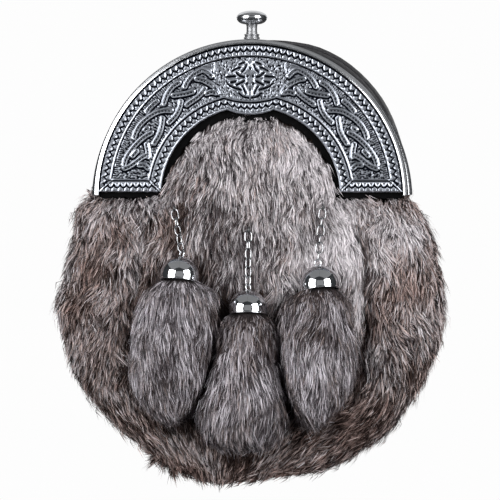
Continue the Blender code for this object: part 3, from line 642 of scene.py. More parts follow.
def cantle_relief(x, z):
    """Height of the casting's face above its ground, millimetres, and its darkening: black patina in the hollows, with
    painted shade on the bands' shadow sides, in the medallion's slots and over the top of the arch.
    """
    radius = np.hypot(x, z - ARCH_Z)
    angle = np.arctan2(z - ARCH_Z, x)
    from_out, from_in, from_foot = PLATE_R - radius, radius - opening_edge(angle), z - PLATE_END
    share = np.stack([from_out / BORDER_OUT, from_in / BORDER_IN, from_foot / BORDER_FOOT])
    nearest = share.argmin(0)
    swept = math.pi / 2 - angle

    # the borders: tongues point inwards from the rim, and away from the field elsewhere
    count = np.where(nearest == 0, TEETH_OUT, TEETH_IN)
    turns = np.where(nearest == 2, (np.abs(x) - 57.8) / TOOTH, swept * count / math.pi)
    phase = (turns + 0.5) % 1 - 0.5
    rows = []
    for away, top, ridge, line, sense in (
        (from_out, 0.65, 5.15, 5.80, 1),
        (from_in, 5.10, 6.30, 5.60, -1),
        (from_foot, 4.45, 5.80, 5.20, -1),
    ):
        down = (away - top) * sense * (1.0 if sense > 0 else 1.05)
        height, patina_and_shade = tooth_rows(down, phase)
        live = ease(down, -0.1, 0.15) * (1 - ease(down, 4.0, 4.25))
        height, patina_and_shade = height * live + 0.26 * (1 - live), patina_and_shade * live
        height = np.maximum(height, 0.95 * hill(away, ridge, 0.34))
        height = np.maximum(height, 0.55 * hill(away, 0.45, 0.32)) if sense < 0 else height
        height -= 0.45 * hill(away, line, 0.20)
        patina_and_shade = np.maximum(patina_and_shade * (1 - hill(away, ridge, 0.4)), 1.25 * hill(away, line, 0.33))
        if sense > 0:
            patina_and_shade = np.maximum(patina_and_shade, 1 - ease(away, 0.35, 0.75))
        # painted shade: the borders are darker over the top of the arch
        rows.append((height, patina_and_shade * 1.24 + 0.11 * (1 - ease(np.abs(x), 15, 50))))
    border = np.choose(nearest, [row[0] for row in rows])
    border_patina_and_shade = np.choose(nearest, [row[1] for row in rows])
    ordered = np.sort(share, axis=0)
    gap = ordered[1] - ordered[0]
    mitre = 1 - ease(gap, 0.0, 0.16)
    leaf = 0.9 * hill(gap, 0, 0.055) * hill(share.min(0), 0.42, 0.22)
    border = border * (1 - 0.6 * mitre) + leaf
    border_patina_and_shade = np.clip(border_patina_and_shade * (1 - mitre) + 0.9 * hill(gap, 0.13, 0.05) * (share.min(0) < 0.8), 0, 1)

    # the field: stipple, and hatching beside its outer edge on the legs
    rng = np.random.default_rng(11)
    grain = rng.normal(size=x.shape)
    grain = (soften(grain, 1, 1) - soften(grain, 4, 3)) / 0.265
    hatch = np.sin(swept * 64.5 * math.tau / 0.98)
    outside = from_out - BORDER_OUT
    by_edge = hill(outside, 1.05, 0.80) * ease(np.abs(x), 14.0, 26.0)
    pattern = grain * (1 - by_edge) + 1.3 * hatch * by_edge
    height = 0.10 + 0.075 * pattern
    patina_and_shade = np.clip(0.36 - 0.36 * pattern + 0.16 * ease(np.abs(x), 16, 50), 0, 0.95)

    left = -np.abs(x)
    bands, band_patina_and_shade = knot_bands(left, z)
    for points in FLARE:
        bands = np.maximum(bands, 0.30 * hill(away_from(points, left, z), 0, 0.34))
    raised = bands > RAISED
    patina_and_shade = np.where(raised, band_patina_and_shade, np.maximum(patina_and_shade, band_patina_and_shade))
    height = np.where(raised, bands, height - 0.18 * np.clip(band_patina_and_shade, 0, 1))

    # the medallion: a pierced lens of interlaced metal
    over, under = smooth_line(on_plate(LENS)), smooth_line(on_plate(LENS_LOW))
    roof = np.interp(left, over[:, 0], over[:, 1], left=-99)
    sill = np.interp(left, under[:, 0], under[:, 1], left=99)
    room = np.minimum(roof - z, z - sill)
    gaps, rims = np.zeros(x.shape), np.zeros(x.shape)
    for points in SLOTS:
        away = away_from(points, left, z)
        gaps = np.maximum(gaps, 1 - ease(away, 0.26, 0.58))
        rims = np.maximum(rims, hill(away, 0.95, 0.30))
    for point in on_plate(DOTS):
        gaps = np.maximum(gaps, 1 - ease(np.hypot(left - point[0], z - point[1]), 0.45, 0.85))
    lens = (0.42 + 0.52 * rims) * ease(room, -0.1, 0.4) * (1 - gaps)
    inside = room > -0.1
    height = np.where(inside, lens, height - 0.15 * hill(room, -0.35, 0.25))
    patina_and_shade = np.where(inside, 0.34 * (1 - rims) + 0.12 * grain * (1 - rims), patina_and_shade)
    # painted shade: the slots and dots are shallow and painted dark for the shade in the piercings
    patina_and_shade = np.maximum(patina_and_shade, gaps * ease(room, -0.9, -0.3))

    within = share.min(0) >= 1
    rise, all_patina_and_shade = np.where(within, height, border), np.where(within, patina_and_shade, border_patina_and_shade)
    edge = np.minimum(np.minimum(from_out, from_in), from_foot)
    return rise * ease(edge, -0.01, 0.2), np.clip(all_patina_and_shade, 0, 1)


class SPORRAN_OT_cantle(bpy.types.Operator):
    """Cast cantle: toothed borders, knotwork and a pierced medallion in relief"""

    bl_idname = "sporran.cantle"
    bl_label = "Cantle"

    def execute(self, context):
        sizes, finishes = context.scene.sporran_sizes, context.scene.sporran_finishes
        bm, flat = grid_sheet(ALONG, ACROSS)
        columns = np.rint((flat[:, 0] + 0.5) * ALONG).astype(int)
        rows = np.rint((flat[:, 1] + 0.5) * ACROSS).astype(int)
        share = (np.arange(ACROSS + 1) / ACROSS)[:, None]
        travel = (np.arange(ALONG + 1) / ALONG)[None, :]
        # the rows follow the inner edge's lobe and fade to true circles at the rim
        start = np.arcsin((PLATE_END - ARCH_Z) / (PLATE_R - (PLATE_R - OPENING_R) * (1 - share)))
        angle = start + travel * (math.pi - 2 * start)
        radius = opening_edge(angle) + share * (PLATE_R - opening_edge(angle))
        x, z = radius * np.cos(angle), ARCH_Z + radius * np.sin(angle)
        z = np.where((travel == 0) | (travel == 1), PLATE_END, z)
        rise, patina_and_shade = cantle_relief(x, z)
        rise *= sizes.relief_height / RELIEF_DRAWN
        front = set(bm.faces)
        shaped(bm, np.stack([x, PLATE_FACE - rise, z], -1)[rows, columns], PLATE_BACK)
        bmesh.ops.triangle_fill(bm, edges=rim_of(bm), use_beauty=False, use_dissolve=False)
        bmesh.ops.recalc_face_normals(bm, faces=bm.faces)
        uv = bm.loops.layers.uv.new("OFBake")
        wide = 2 * PLATE_R * MM
        for face in bm.faces:
            for loop in face.loops:
                if face in front:
                    i = loop.vert.index
                    loop[uv].uv = (columns[i] / ALONG, 0.05 + 0.95 * rows[i] / ACROSS)
                else:
                    loop[uv].uv = (loop.vert.co.x / wide + 0.5, 0.04 * (loop.vert.co.z / wide + 0.45))
        mesh = mesh_from(bm, "cantle_casting", mend=False)
        worn_and_lit = np.full(len(mesh.vertices), 0.25)
        worn_and_lit[: patina_and_shade.size] = (1 - patina_and_shade)[rows, columns]
        layer = mesh.attributes.new("wear", "FLOAT", "POINT")
        layer.data.foreach_set("value", worn_and_lit.astype(np.float32))
        piece("cantle_casting", mesh, cast_finish(finishes), ["cantle_plate"])
        return {"FINISHED"}


# --- frame and knob

# the bands' fronts, from the inner edge outwards and from the front backwards
BEADED = [(0, 0.30), (0.08, 0.1), (0.22, 0.0), (0.34, 0.03), (0.66, 0.19), (0.74, 0.48), (0.90, 0.36)]
BEADED += [(1.80, 0.50), (2.3, 1.02)]
SLOPED = [(0, 0.3), (0.3, 0.0), (0.65, 0.0), (2.15, 1.0), (2.3, 1.25)]


def frame_band(radius, depth, shape):
    """Half of the frame: a band with the given shape in front, spun round the arch's centre."""
    front, back = depth
    inner = radius - BAND_WALL
    profile = [(inner + out, front + drop) for out, drop in shape]
    soft, chord = 0.45, 0.13  # radius of the rear edges, and where their curve passes
    profile += [(inner, back - soft), (inner + chord, back - chord), (inner + soft, back)]
    profile += [(radius - soft, back), (radius - chord, back - chord), (radius, back - soft)]
    end = math.asin((BAND_END - ARCH_Z) / radius)
    bm = bmesh.new()
    face = bm.faces.new([bm.verts.new((r * MM, y * MM, 0)) for r, y in profile])
    bmesh.ops.rotate(bm, verts=bm.verts, cent=(0, 0, 0), matrix=Matrix.Rotation(-end, 3, "Y"))
    bmesh.ops.spin(bm, geom=[face], cent=(0, 0, 0), axis=(0, -1, 0), angle=math.pi - 2 * end, steps=128)
    bmesh.ops.translate(bm, verts=bm.verts, vec=(0, 0, ARCH_Z * MM))
    return bm


class SPORRAN_OT_frame_bands(bpy.types.Operator):
    """The two polished bands of the frame"""

    bl_idname = "sporran.frame_bands"
    bl_label = "Frame bands"

    def execute(self, context):
        chrome = chrome_finish("band_chrome", context.scene.sporran_finishes, 0.18, 1.15, haze_depth=0.02)
        bm = frame_band(BAND_R, FRONT_BAND, BEADED)
        piece("front_band", bm, chrome, ["front_frame"], sharp=30)
        bm = frame_band(BACK_BAND_TOP_R, BACK_BAND, SLOPED)
        for vertex in bm.verts:
            low = 1 - max(0.0, (vertex.co.z / MM - ARCH_Z) / BACK_BAND_TOP_R)
            vertex.co.x *= 1 + (BACK_BAND_SIDE_R / BACK_BAND_TOP_R - 1) * low
        piece("back_band", bm, chrome, ["back_frame"], sharp=30)
        return {"FINISHED"}


class SPORRAN_OT_knob(bpy.types.Operator):
    """Push-button knob and the collar it slides in"""

    bl_idname = "sporran.knob"
    bl_label = "Knob"

    def execute(self, context):
        chrome = chrome_finish("knob_chrome", context.scene.sporran_finishes, 0.15, 1.15, 0.0388)
        arcs = [math.pi / 2 * i / 14 for i in range(15)]
        button = [(7.3 * math.sin(a), 42.35 + 3.05 * math.cos(a)) for a in arcs]
        button[0] = (0, 45.4)
        button += [(7.46, 42.28), (7.5, 42.1), (7.46, 41.92)]
        button += [(2.9 + 4.4 * math.cos(a), 41.85 - 3.0 * math.sin(a)) for a in arcs]
        button += [(2.7, 38.6), (2.7, 38.2), (2.55, 37.9), (2.55, 35.2), (2.7, 34.9), (2.7, 33.8)]
        button += [(1.5, 33.8), (1.5, 27.4), (0, 27.4)]
        foot = ARCH_Z + BACK_BAND_TOP_R + 0.3
        guide = [(3.0, foot), (3.6, foot), (3.85, foot + 0.15), (3.85, foot + 0.7), (3.7, foot + 0.9)]
        guide += [(3.4, foot + 1.05), (3.35, 33.3), (3.5, 33.5), (3.65, 33.7), (3.65, 33.9), (3.5, 34.1), (3.0, 34.1)]
        for name, profile, steps, node, body in (
            ("knob_button", button[::-1], 72, "knob", "knob"),
            ("knob_guide", guide, 56, "knob_collar", "pouch"),
        ):
            bm = moved(turned(profile, steps), Matrix.Translation((0, KNOB_Y * MM, 0)))
            piece(name, bm, chrome, [node], body, sharp=50)
        return {"FINISHED"}


# --- leather


def softened_copy(node, radius, segments):
    """A leather piece from a frame node's own shape, its edges rounded."""
    bm = bmesh.new()
    bm.from_mesh(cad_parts[node].data)
    bmesh.ops.remove_doubles(bm, verts=bm.verts, dist=1e-6)
    bmesh.ops.dissolve_limit(bm, angle_limit=math.radians(0.5), verts=bm.verts, edges=bm.edges)
    sharp = [e for e in bm.edges if len(e.link_faces) == 2 and e.calc_face_angle(0) > math.radians(40)]
    how = {"offset_type": "OFFSET", "affect": "EDGES", "profile": 0.5, "material": -1, "clamp_overlap": True}
    bmesh.ops.bevel(bm, geom=sharp, offset=radius * MM, segments=segments, **how)
    bmesh.ops.triangulate(bm, faces=[f for f in bm.faces if len(f.verts) > 4])
    return bm


def gusset_fold():
    """The gusset's front edge turned inwards as far as the bands."""
    points = positions(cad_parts["leather_gusset"].data) / MM
    radius, angle = np.hypot(points[:, 0], points[:, 2] - ARCH_Z), np.arctan2(points[:, 2] - ARCH_Z, points[:, 0])
    inner, end = 73.6, 0.06  # the fold's inner radius, and the angle it leaves at either end
    stops = np.linspace(end, math.pi - end, 44)
    outer = [radius[np.abs(angle - stop) < end].max() for stop in stops]
    bm, _ = grid_sheet(110, 2)
    for vertex in bm.verts:
        a = end + (vertex.co.x + 0.5) * (math.pi - 2 * end)
        r = inner + (vertex.co.y + 0.5) * (float(np.interp(a, stops, outer)) - 0.5 - inner)
        vertex.co = (r * math.cos(a) * MM, (points[:, 1].min() + 0.25) * MM, (ARCH_Z + r * math.sin(a)) * MM)
    made = bmesh.ops.extrude_face_region(bm, geom=bm.faces[:])
    rear = [v for v in made["geom"] if isinstance(v, bmesh.types.BMVert)]
    bmesh.ops.translate(bm, verts=rear, vec=(0, 1.0 * MM, 0))
    return bm


def along_points(points, step):
    """Points and headings every step along a line of points."""
    points = np.asarray(points, float)
    gone = np.concatenate([[0], np.cumsum(np.linalg.norm(np.diff(points, axis=0), axis=1))])
    count = max(1, int(gone[-1] / step))
    places = (np.arange(count) + 0.5) * gone[-1] / count

    def at(distance):
        return np.stack([np.interp(np.clip(distance, 0, gone[-1]), gone, points[:, k]) for k in range(3)], 1)

    return at(places), at(places + 0.4) - at(places - 0.4)


def stitch_row(name, lines, material, length=2.3, pitch=3.4, thick=0.55):
    """Stitches along lines on a face that looks backwards, each a small pillow of thread, joined in one mesh."""
    small = bmesh.new()
    bmesh.ops.create_uvsphere(small, u_segments=8, v_segments=6, radius=0.5)
    bmesh.ops.rotate(small, verts=small.verts, cent=(0, 0, 0), matrix=Matrix.Rotation(math.pi / 2, 3, "Y"))
    bmesh.ops.scale(small, verts=small.verts, vec=(length, thick, thick))
    bm = bmesh.new()
    for line in lines:
        for place, heading in zip(*along_points(line, pitch)):
            x = Vector(heading).normalized()
            y = Vector((0, 1, 0)).cross(x).normalized()
            move = Matrix.Translation(Vector(place) * MM) @ turn_to(x, y, x.cross(y)) @ Matrix.Scale(MM, 4)
            added(bm, small.copy(), move)
    small.free()
    piece(name, bm, material)


class SPORRAN_OT_leather(bpy.types.Operator):
    """Pinked underlay, gusset, back and belt loops, with their stitching"""

    bl_idname = "sporran.leather"
    bl_label = "Leather"

    def execute(self, context):
        finishes = context.scene.sporran_finishes
        # painted light: the back and the gusset are lighter copies of the leather where they get little light; the
        # pinked underlay is a darker copy, painted shade
        back, thread = leather_finish("black_leather", finishes, 5.0, 0.55), thread_finish()
        suede = leather_finish("pinked_leather", finishes, 0.35, 0.06, 0.8)
        strip = leather_finish("gusset_leather", finishes, 3.6, 0.5)
        for name, node, radius, segments, leather in (
            ("pinked_underlay", "leather_underlay", 0.28, 2, suede),
            ("gusset_strip", "leather_gusset", 0.75, 4, strip),
            ("leather_back", "back_panel", 0.8, 4, back),
            ("belt_loop_left", "strap_loop_left", 0.6, 3, back),
            ("belt_loop_right", "strap_loop_right", 0.6, 3, back),
        ):
            piece(name, softened_copy(node, radius, segments), leather, [node], sharp=35, mend=False)
        piece("gusset_fold", gusset_fold(), strip)
        rows = np.linspace(-47.0, -166.5, 40)
        left, right = (pouch_column(k, rows) for k in (1, 2))
        panel_inset, row_inset, arch_r, back_y = 8.5, 3.2, 74.0, -0.02
        inset = panel_inset + row_inset
        turn = np.linspace(0, math.pi, 60)
        arch = [(arch_r * math.cos(a), back_y, ARCH_Z + arch_r * math.sin(a)) for a in turn]
        down_left = [(x + inset, back_y, z) for x, z in zip(left, rows)]
        down_right = [(x - inset, back_y, z) for x, z in zip(right, rows)]
        stitch_row("back_stitching", [down_right[::-1] + arch + down_left], thread)
        half, loop_y = 7.6, 2.44
        ends = [[(x - half, loop_y, z), (x + half, loop_y, z)] for x in (-32.0, 32.0) for z in (16.9, -16.9)]
        stitch_row("loop_stitching", ends, thread, 1.9, 2.7, 0.5)
        return {"FINISHED"}


# --- chains and caps


def frame_along(direction, roll=0.0):
    """A rotation whose Z runs along a direction and whose Y looks mostly backwards."""
    z = Vector(direction).normalized()
    x = Vector((0, 1, 0)).cross(z).normalized()
    return turn_to(x, z.cross(x), z) @ Matrix.Rotation(roll, 4, "Z")


def own_axes(node):
    """A node's centre, turned so that X, Y and Z run along its wide, thin and long ways."""
    points = positions(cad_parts[node].data)
    centre = (points.min(0) + points.max(0)) / 2
    spread = np.linalg.eigh(np.cov((np.unique(points.round(7), axis=0) - centre).T))[1]
    thin, long = Vector(spread[:, 0]), Vector(spread[:, 2])
    return Matrix.Translation(Vector(centre)) @ turn_to(thin.cross(long).normalized(), thin, long)


class SPORRAN_OT_chains(bpy.types.Operator):
    """Studs in the fur and the oval links that hang from them"""

    bl_idname = "sporran.chains"
    bl_label = "Chains"

    def execute(self, context):
        # painted shade: the links are a darker copy of the chrome, and the studs a much darker one that sinks into the
        # fur's shade
        chrome = chrome_finish("chain_chrome", context.scene.sporran_finishes, 0.08, 0.8)
        black = chrome_finish("stud_painted_shade", context.scene.sporran_finishes, 0.3, 0.22)
        r, t = STUD_R, STUD_THICK
        stud = [(0, 0), (r, 0.0), (r, t * 0.4), (r * 0.88, t * 0.8), (r * 0.6, t * 0.98), (0, t)]
        for side, (_, _, _, links, _) in TASSELS.items():
            for i in range(links):
                node = f"chain_link_{side}_{i + 1}"
                bm = moved(wire_ring(LINK_R, LINK_STRETCH), own_axes(node))
                piece(f"oval_link_{side}_{i + 1}", bm, chrome, [node])
            node = f"chain_anchor_{side}"
            low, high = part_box(node)
            middle, back = (low + high) / 2, high.y / MM
            place = Matrix.Translation((middle.x, back * MM, middle.z)) @ Matrix.Rotation(math.pi / 2, 4, "X")
            bm = moved(turned(stud, 28), place)
            eye = Matrix.Translation((middle.x, (back - t - EYE_RISE) * MM, middle.z))
            added(bm, wire_ring(EYE_R), eye @ Matrix.Rotation(math.pi / 2, 4, "Z"))
            piece(f"fur_stud_{side}", bm, black, [node], sharp=50)
        return {"FINISHED"}


def cap_place(side):
    """Centre of a cap's dome and the direction up its axis, millimetres."""
    x, z, tilt, _, _ = TASSELS[side]
    lean, sideways = math.sin(CAP_LEAN), math.sin(math.radians(tilt))
    axis = Vector((sideways, lean, math.sqrt(1 - lean**2 - sideways**2)))
    reach = lean * CAP_SKIRT + CAP_R * math.sqrt(1 - lean**2)
    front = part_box(f"tassel_cap_{side}")[0].y / MM
    return Vector((x, front + reach, z)), axis


class SPORRAN_OT_caps(bpy.types.Operator):
    """Domed tassel caps, each with an eye on top and a rolled rim"""

    bl_idname = "sporran.caps"
    bl_label = "Tassel caps"

    def execute(self, context):
        # painted light: the caps are a lighter copy of the chrome
        chrome = chrome_finish("cap_chrome", context.scene.sporran_finishes, 0.035, 1.2)
        outer, inner = CAP_R, CAP_R - CAP_WALL
        arcs = [math.pi / 2 * i / 20 for i in range(21)]
        profile = [(0, inner)] + [(inner * math.cos(a), inner * math.sin(a)) for a in arcs[-2::-1]]
        profile += [(inner, -CAP_SKIRT + 0.2), (inner + 0.2, -CAP_SKIRT)]
        profile += [(outer - 0.15, -CAP_SKIRT), (outer, -CAP_SKIRT + 0.18), (outer, -CAP_SKIRT + 0.5)]
        profile += [(outer - 0.14, -CAP_SKIRT + 0.72), (outer - 0.12, -CAP_SKIRT + 1.0)]
        profile += [(outer * math.cos(a), outer * math.sin(a)) for a in arcs[:-1]] + [(0, outer)]
        for side, (_, _, _, links, twist) in TASSELS.items():
            centre, axis = cap_place(side)
            bm = moved(turned(profile, 56), Matrix.Translation(centre * MM) @ frame_along(axis))
            roll = math.radians(90 * links + twist * min(1.0, links / 2))
            eye = Matrix.Translation((centre + axis * (CAP_R + EYE_RISE)) * MM) @ frame_along(axis, roll)
            added(bm, wire_ring(EYE_R), eye)
            piece(f"dome_cap_{side}", bm, chrome, [f"tassel_cap_{side}"], sharp=60)
        return {"FINISHED"}


# --- fur


def pouch_edges(z):
    """Left edge, right edge and front of the pouch at many heights."""
    return tuple(pouch_column(column, z) for column in (1, 2, 3))


def across_of(x, z):
    """Where a place lies between the pouch's edges, -1 to 1."""
    left, right, _ = pouch_edges(z)
    return (x - (left + right) / 2) / ((right - left) / 2)


def front_swell(z, across):
    """How far back the front is set: by the groove, less the rise of the side fur beside it."""
    top, bottom = POUCH_ROWS[3][0], POUCH_ROWS[-3][0]
    fade = np.clip((top - z) / 15, 0, 1) * np.clip((z - bottom) / 15, 0, 1)
    return fade * (GROOVE_DEPTH * hill(across, GROOVE_AT, GROOVE_WIDTH) - ROLL_RISE * hill(across, ROLL_AT, ROLL_WIDTH))


def neck_front(x, z, inset):
    """Depth of the hide that bulges in the cantle's opening, millimetres."""
    inside = 1 - (x / (NECK_HALF - inset * 0.3)) ** 2 - ((z - NECK_CENTRE) / (NECK_HEIGHT - inset * 0.3)) ** 2
    return HIDE_FRONT + 0.4 - (NECK_BULGE - inset + 0.4) * np.sqrt(np.clip(inside, 0, 1))


def pouch_front(x, z, inset):
    """Depth of the hide's front, millimetres: the foremost of the body, the neck and the flat hide."""
    left, right, front = pouch_edges(z)
    middle, half = (left + right) / 2, (right - left) / 2 - inset
    across = np.clip(np.abs(x - middle) / half, 0, 1)
    depth = (POUCH_BACK - front - inset) / 2
    round_off = (1 - across**POUCH_SQUARE) ** (1 / POUCH_SQUARE)
    body = POUCH_BACK - depth - depth * round_off + front_swell(z, across)
    body = np.where(z < POUCH_ROWS[1][0], body, 0.0)
    return np.minimum(body, neck_front(x, z, inset))


def pouch_hide(inset):
    """The body of the hide: a deformed tube, closed below, whose front bulges into the cantle's opening."""
    bm, _ = grid_sheet(112, 84)
    bottom, top = POUCH_ROWS[-1][0] + inset * 0.8, POUCH_ROWS[0][0]
    back, power = POUCH_BACK - 0.6, 2 / POUCH_SQUARE
    for vertex in bm.verts:
        turn, rise = vertex.co.x + 0.5, vertex.co.y + 0.5
        z = bottom + (top - bottom) * rise
        left, right, front = (float(v) for v in pouch_edges(z))
        left, right, front = left + inset, right - inset, front + inset
        a = math.tau * (turn + 0.25)
        c, s = math.cos(a), math.sin(a)
        middle, half = (left + right) / 2, (right - left) / 2
        x = middle + half * math.copysign(abs(c) ** power, c)
        y = (front + back) / 2 + (back - front) / 2 * math.copysign(abs(s) ** power, s)
        if s < 0:
            y += float(front_swell(z, abs(x - middle) / half))
            y = min(y, float(neck_front(x, z, inset))) if abs(x) < NECK_HALF - 1 else y
        vertex.co = (x * MM, y * MM, z * MM)
    bmesh.ops.remove_doubles(bm, verts=bm.verts, dist=1e-6)
    closed(bm, [e for e in rim_of(bm) if all(v.co.z < (bottom + 1) * MM for v in e.verts)])
    return bm


def neck_hide(inset):
    """The middle of the front: a sheet set at the foremost of the body, the neck and the flat hide."""
    bm, flat = grid_sheet(96, 150)
    z = NECK_GRID_TOP + (flat[:, 1] - 0.5) * (NECK_GRID_TOP - NECK_GRID_LOW)
    arch = np.sqrt(np.maximum(NECK_GRID_R**2 - np.maximum(z - ARCH_Z, 0) ** 2, 1))
    x = flat[:, 0] * 2 * np.where(z > ARCH_Z, arch, NECK_GRID_R)
    y = np.minimum(pouch_front(x, z, inset), HIDE_FRONT + 0.2)
    front = len(bm.faces)
    shaped(bm, np.stack([x, y, z], 1), HIDE_FRONT + 2.3)
    # the operator's side faces come in any order, and the hair's places depend on it
    for elements in (bm.verts, bm.faces):
        elements.index_update()
    bm.faces.sort(key=lambda f: f.index if f.index < front else front + min(v.index for v in f.verts))
    closed(bm, rim_of(bm))
    return bm


GROOVES = (  # height and x down each dark parting beside the middle, and how dark it is
    (((-56.0, 51.6), (-70.0, 55.6), (-80.0, 56.4), (-92.0, 55.0), (-102.0, 57.8), (-111.0, 55.2)), 1.0),
    (((-57.0, -47.8), (-89.0, -53.0), (-107.0, -58.3), (-127.0, -59.7)), 0.6),
)


def in_groove(x, z, width):
    """1 on a parting's line, fading beside it and past its ends."""
    most = np.zeros(len(x))
    for line, strength in GROOVES:
        heights, places = np.array(line)[::-1].T
        fade = ease(z, heights[0] - 8, heights[0] + 2) * (1 - ease(z, heights[-1] - 2, heights[-1] + 5))
        most = np.maximum(most, strength * fade * hill(x, np.interp(z, heights, places), width))
    return most


def beside_tassels(x, z):
    """How much painted shade a place gets round the tassels, their caps and chains."""
    painted_shading = np.zeros(len(x))
    for side, (dome_x, dome_z, _, _, _) in TASSELS.items():
        low, high = (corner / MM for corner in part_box(f"tassel_fur_{side}"))
        middle, half = (low + high) / 2, (high - low) / 2
        ring = np.hypot((x - middle.x) / half.x, (z - middle.z) / half.z)
        painted_shading = np.maximum(painted_shading, hill(np.maximum(ring, 1), 1, 0.26))
        ring = np.hypot(x - dome_x, z - dome_z) / CAP_R
        painted_shading = np.maximum(painted_shading, 0.9 * hill(np.maximum(ring, 1), 1, 0.42))
        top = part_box(f"chain_anchor_{side}")[1].z / MM
        line = hill(x, dome_x, 3.6) * ease(z, dome_z, dome_z + 5) * (1 - ease(z, top - 3, top + 3))
        painted_shading = np.maximum(painted_shading, line)
    return painted_shading


MARKINGS = (  # soft light and dark patches of the fur: x, height, half width, half height, how much lighter
    (-12, -72, 6, 28, -0.50),
    (-11, -50, 6, 8, -0.42),
    (33, -34, 6, 16, 0.26),
    (11, -72, 5, 6, -0.34),
    (14, -89, 8, 11, 0.38),
    (26, -71, 6, 6, 0.35),
    (36, -62, 8, 10, 0.24),
    (46, -68, 9, 14, 0.20),
    (50, -102, 6, 13, 0.52),
    (66, -60, 9, 12, 0.28),
    (-66, -54, 11, 8, 0.24),
    (-66, -77, 7, 6, -0.45),
    (-60, -90, 8, 8, 0.20),
    (-28, -77, 6, 9, -0.38),
    # the next two are painted shade, in the gaps between the left and middle tassels
    (-14, -102, 4, 14, -0.9),
    (-21, -142, 6, 9, -0.6),
    (-20, -52, 9, 11, -0.34),
    (14, -65, 9, 9, -0.26),
    (-28, -62, 6, 8, 0.20),
    (20, -24, 13, 14, 0.34),
    (73, -124, 13, 15, -0.22),
    (-74, -95, 14, 26, -0.10),
    (-62, -152, 10, 8, -0.32),
    (68, -157, 13, 9, -0.24),
    (-36, -164, 13, 8, 0.52),
    (10, -173, 14, 6, -0.22),
    (38, -152, 20, 7, 0.22),
)
BROAD = (  # wide shading of the fur, the same way
    (-16, -62, 15, 18, -0.22),
    (-4, -90, 26, 18, -0.14),
    (70, -76, 15, 30, 0.22),
    (70, -130, 18, 16, -0.20),
    (-5, -172, 5, 8, -0.20),
)


def marked(marks, x, z):
    """How much lighter the patches make each place."""
    return sum(gain * hill(x, mark_x, wide) * hill(z, mark_z, tall) for mark_x, mark_z, wide, tall, gain in marks)


def triangles_of(mesh):
    mesh.calc_loop_triangles()
    corners = np.empty(len(mesh.loop_triangles) * 3, int)
    mesh.loop_triangles.foreach_get("vertices", corners)
    normals = np.empty(len(mesh.vertices) * 3)
    mesh.vertices.foreach_get("normal", normals)
    return positions(mesh), corners.reshape(-1, 3), normals.reshape(-1, 3)


def scatter_on(mesh, count, rng, weight):
    """Random places on a mesh with their normals, in proportion to area times weight(centre, normal)."""
    points, corners, normals = triangles_of(mesh)
    a, b, c = (points[corners[:, k]] for k in range(3))
    area = np.linalg.norm(np.cross(b - a, c - a), axis=1)
    centre, facing = (a + b + c) / 3, normals[corners].mean(1)
    chance = area * weight(centre / MM, facing)
    picked = rng.choice(len(corners), count, p=chance / chance.sum())
    u, v = rng.random(count), rng.random(count)
    flip = u + v > 1
    u, v = np.where(flip, 1 - u, u), np.where(flip, 1 - v, v)
    w = np.stack([1 - u - v, u, v], 1)[:, :, None]
    place = (points[corners[picked]] * w).sum(1)
    normal = (normals[corners[picked]] * w).sum(1)
    return place, normal / np.linalg.norm(normal, axis=1)[:, None]


def unit(v):
    return v / np.maximum(np.linalg.norm(v, axis=-1, keepdims=True), 1e-12)


def blades(name, roots, middles, tips, sides, width, tone, family):
    """Tapered blades of hair, two faces each, as one mesh from arrays; their tone and family go in the map."""
    count = len(roots)
    offset = sides * (width / 2)[:, None]
    co = np.stack([roots, middles - offset, middles + offset, tips], 1).reshape(-1, 3)
    first = np.arange(count)[:, None] * 4
    corners = np.concatenate([first + [0, 2, 1], first + [1, 2, 3]], 1).reshape(-1)
    mesh = bpy.data.meshes.new(name)
    mesh.vertices.add(count * 4)
    mesh.vertices.foreach_set("co", co.astype(np.float32).reshape(-1))
    mesh.loops.add(count * 6)
    mesh.loops.foreach_set("vertex_index", corners.astype(np.int32))
    mesh.polygons.add(count * 2)
    mesh.polygons.foreach_set("loop_start", np.arange(0, count * 6, 3, dtype=np.int32))
    mesh.update(calc_edges=True)
    mesh.shade_smooth()
    slim = 0.006
    u = 0.02 + 0.96 * np.clip(tone, 0, 1)[:, None] + np.array([0, -slim, slim, 0])
    v = (family[:, None] + np.array([0.05, 0.45, 0.45, 0.95])) / HAIR_BANDS
    uv = np.stack([np.clip(u, 0, 1), v], -1).reshape(-1, 2)[corners]
    mesh.uv_layers.new(name="OFBake").data.foreach_set("uv", uv.astype(np.float32).reshape(-1))
    return mesh


def varied(rng, count, spread, least, most):
    """Random factors about 1."""
    return np.clip(rng.normal(1.0, spread, count), least, most)


def headings(sideways, upwards):
    """Directions in the plane of the front."""
    return np.stack([sideways, np.zeros(len(sideways)), upwards], 1)


SWAY = 0.0006  # how far hairs part sideways, metres


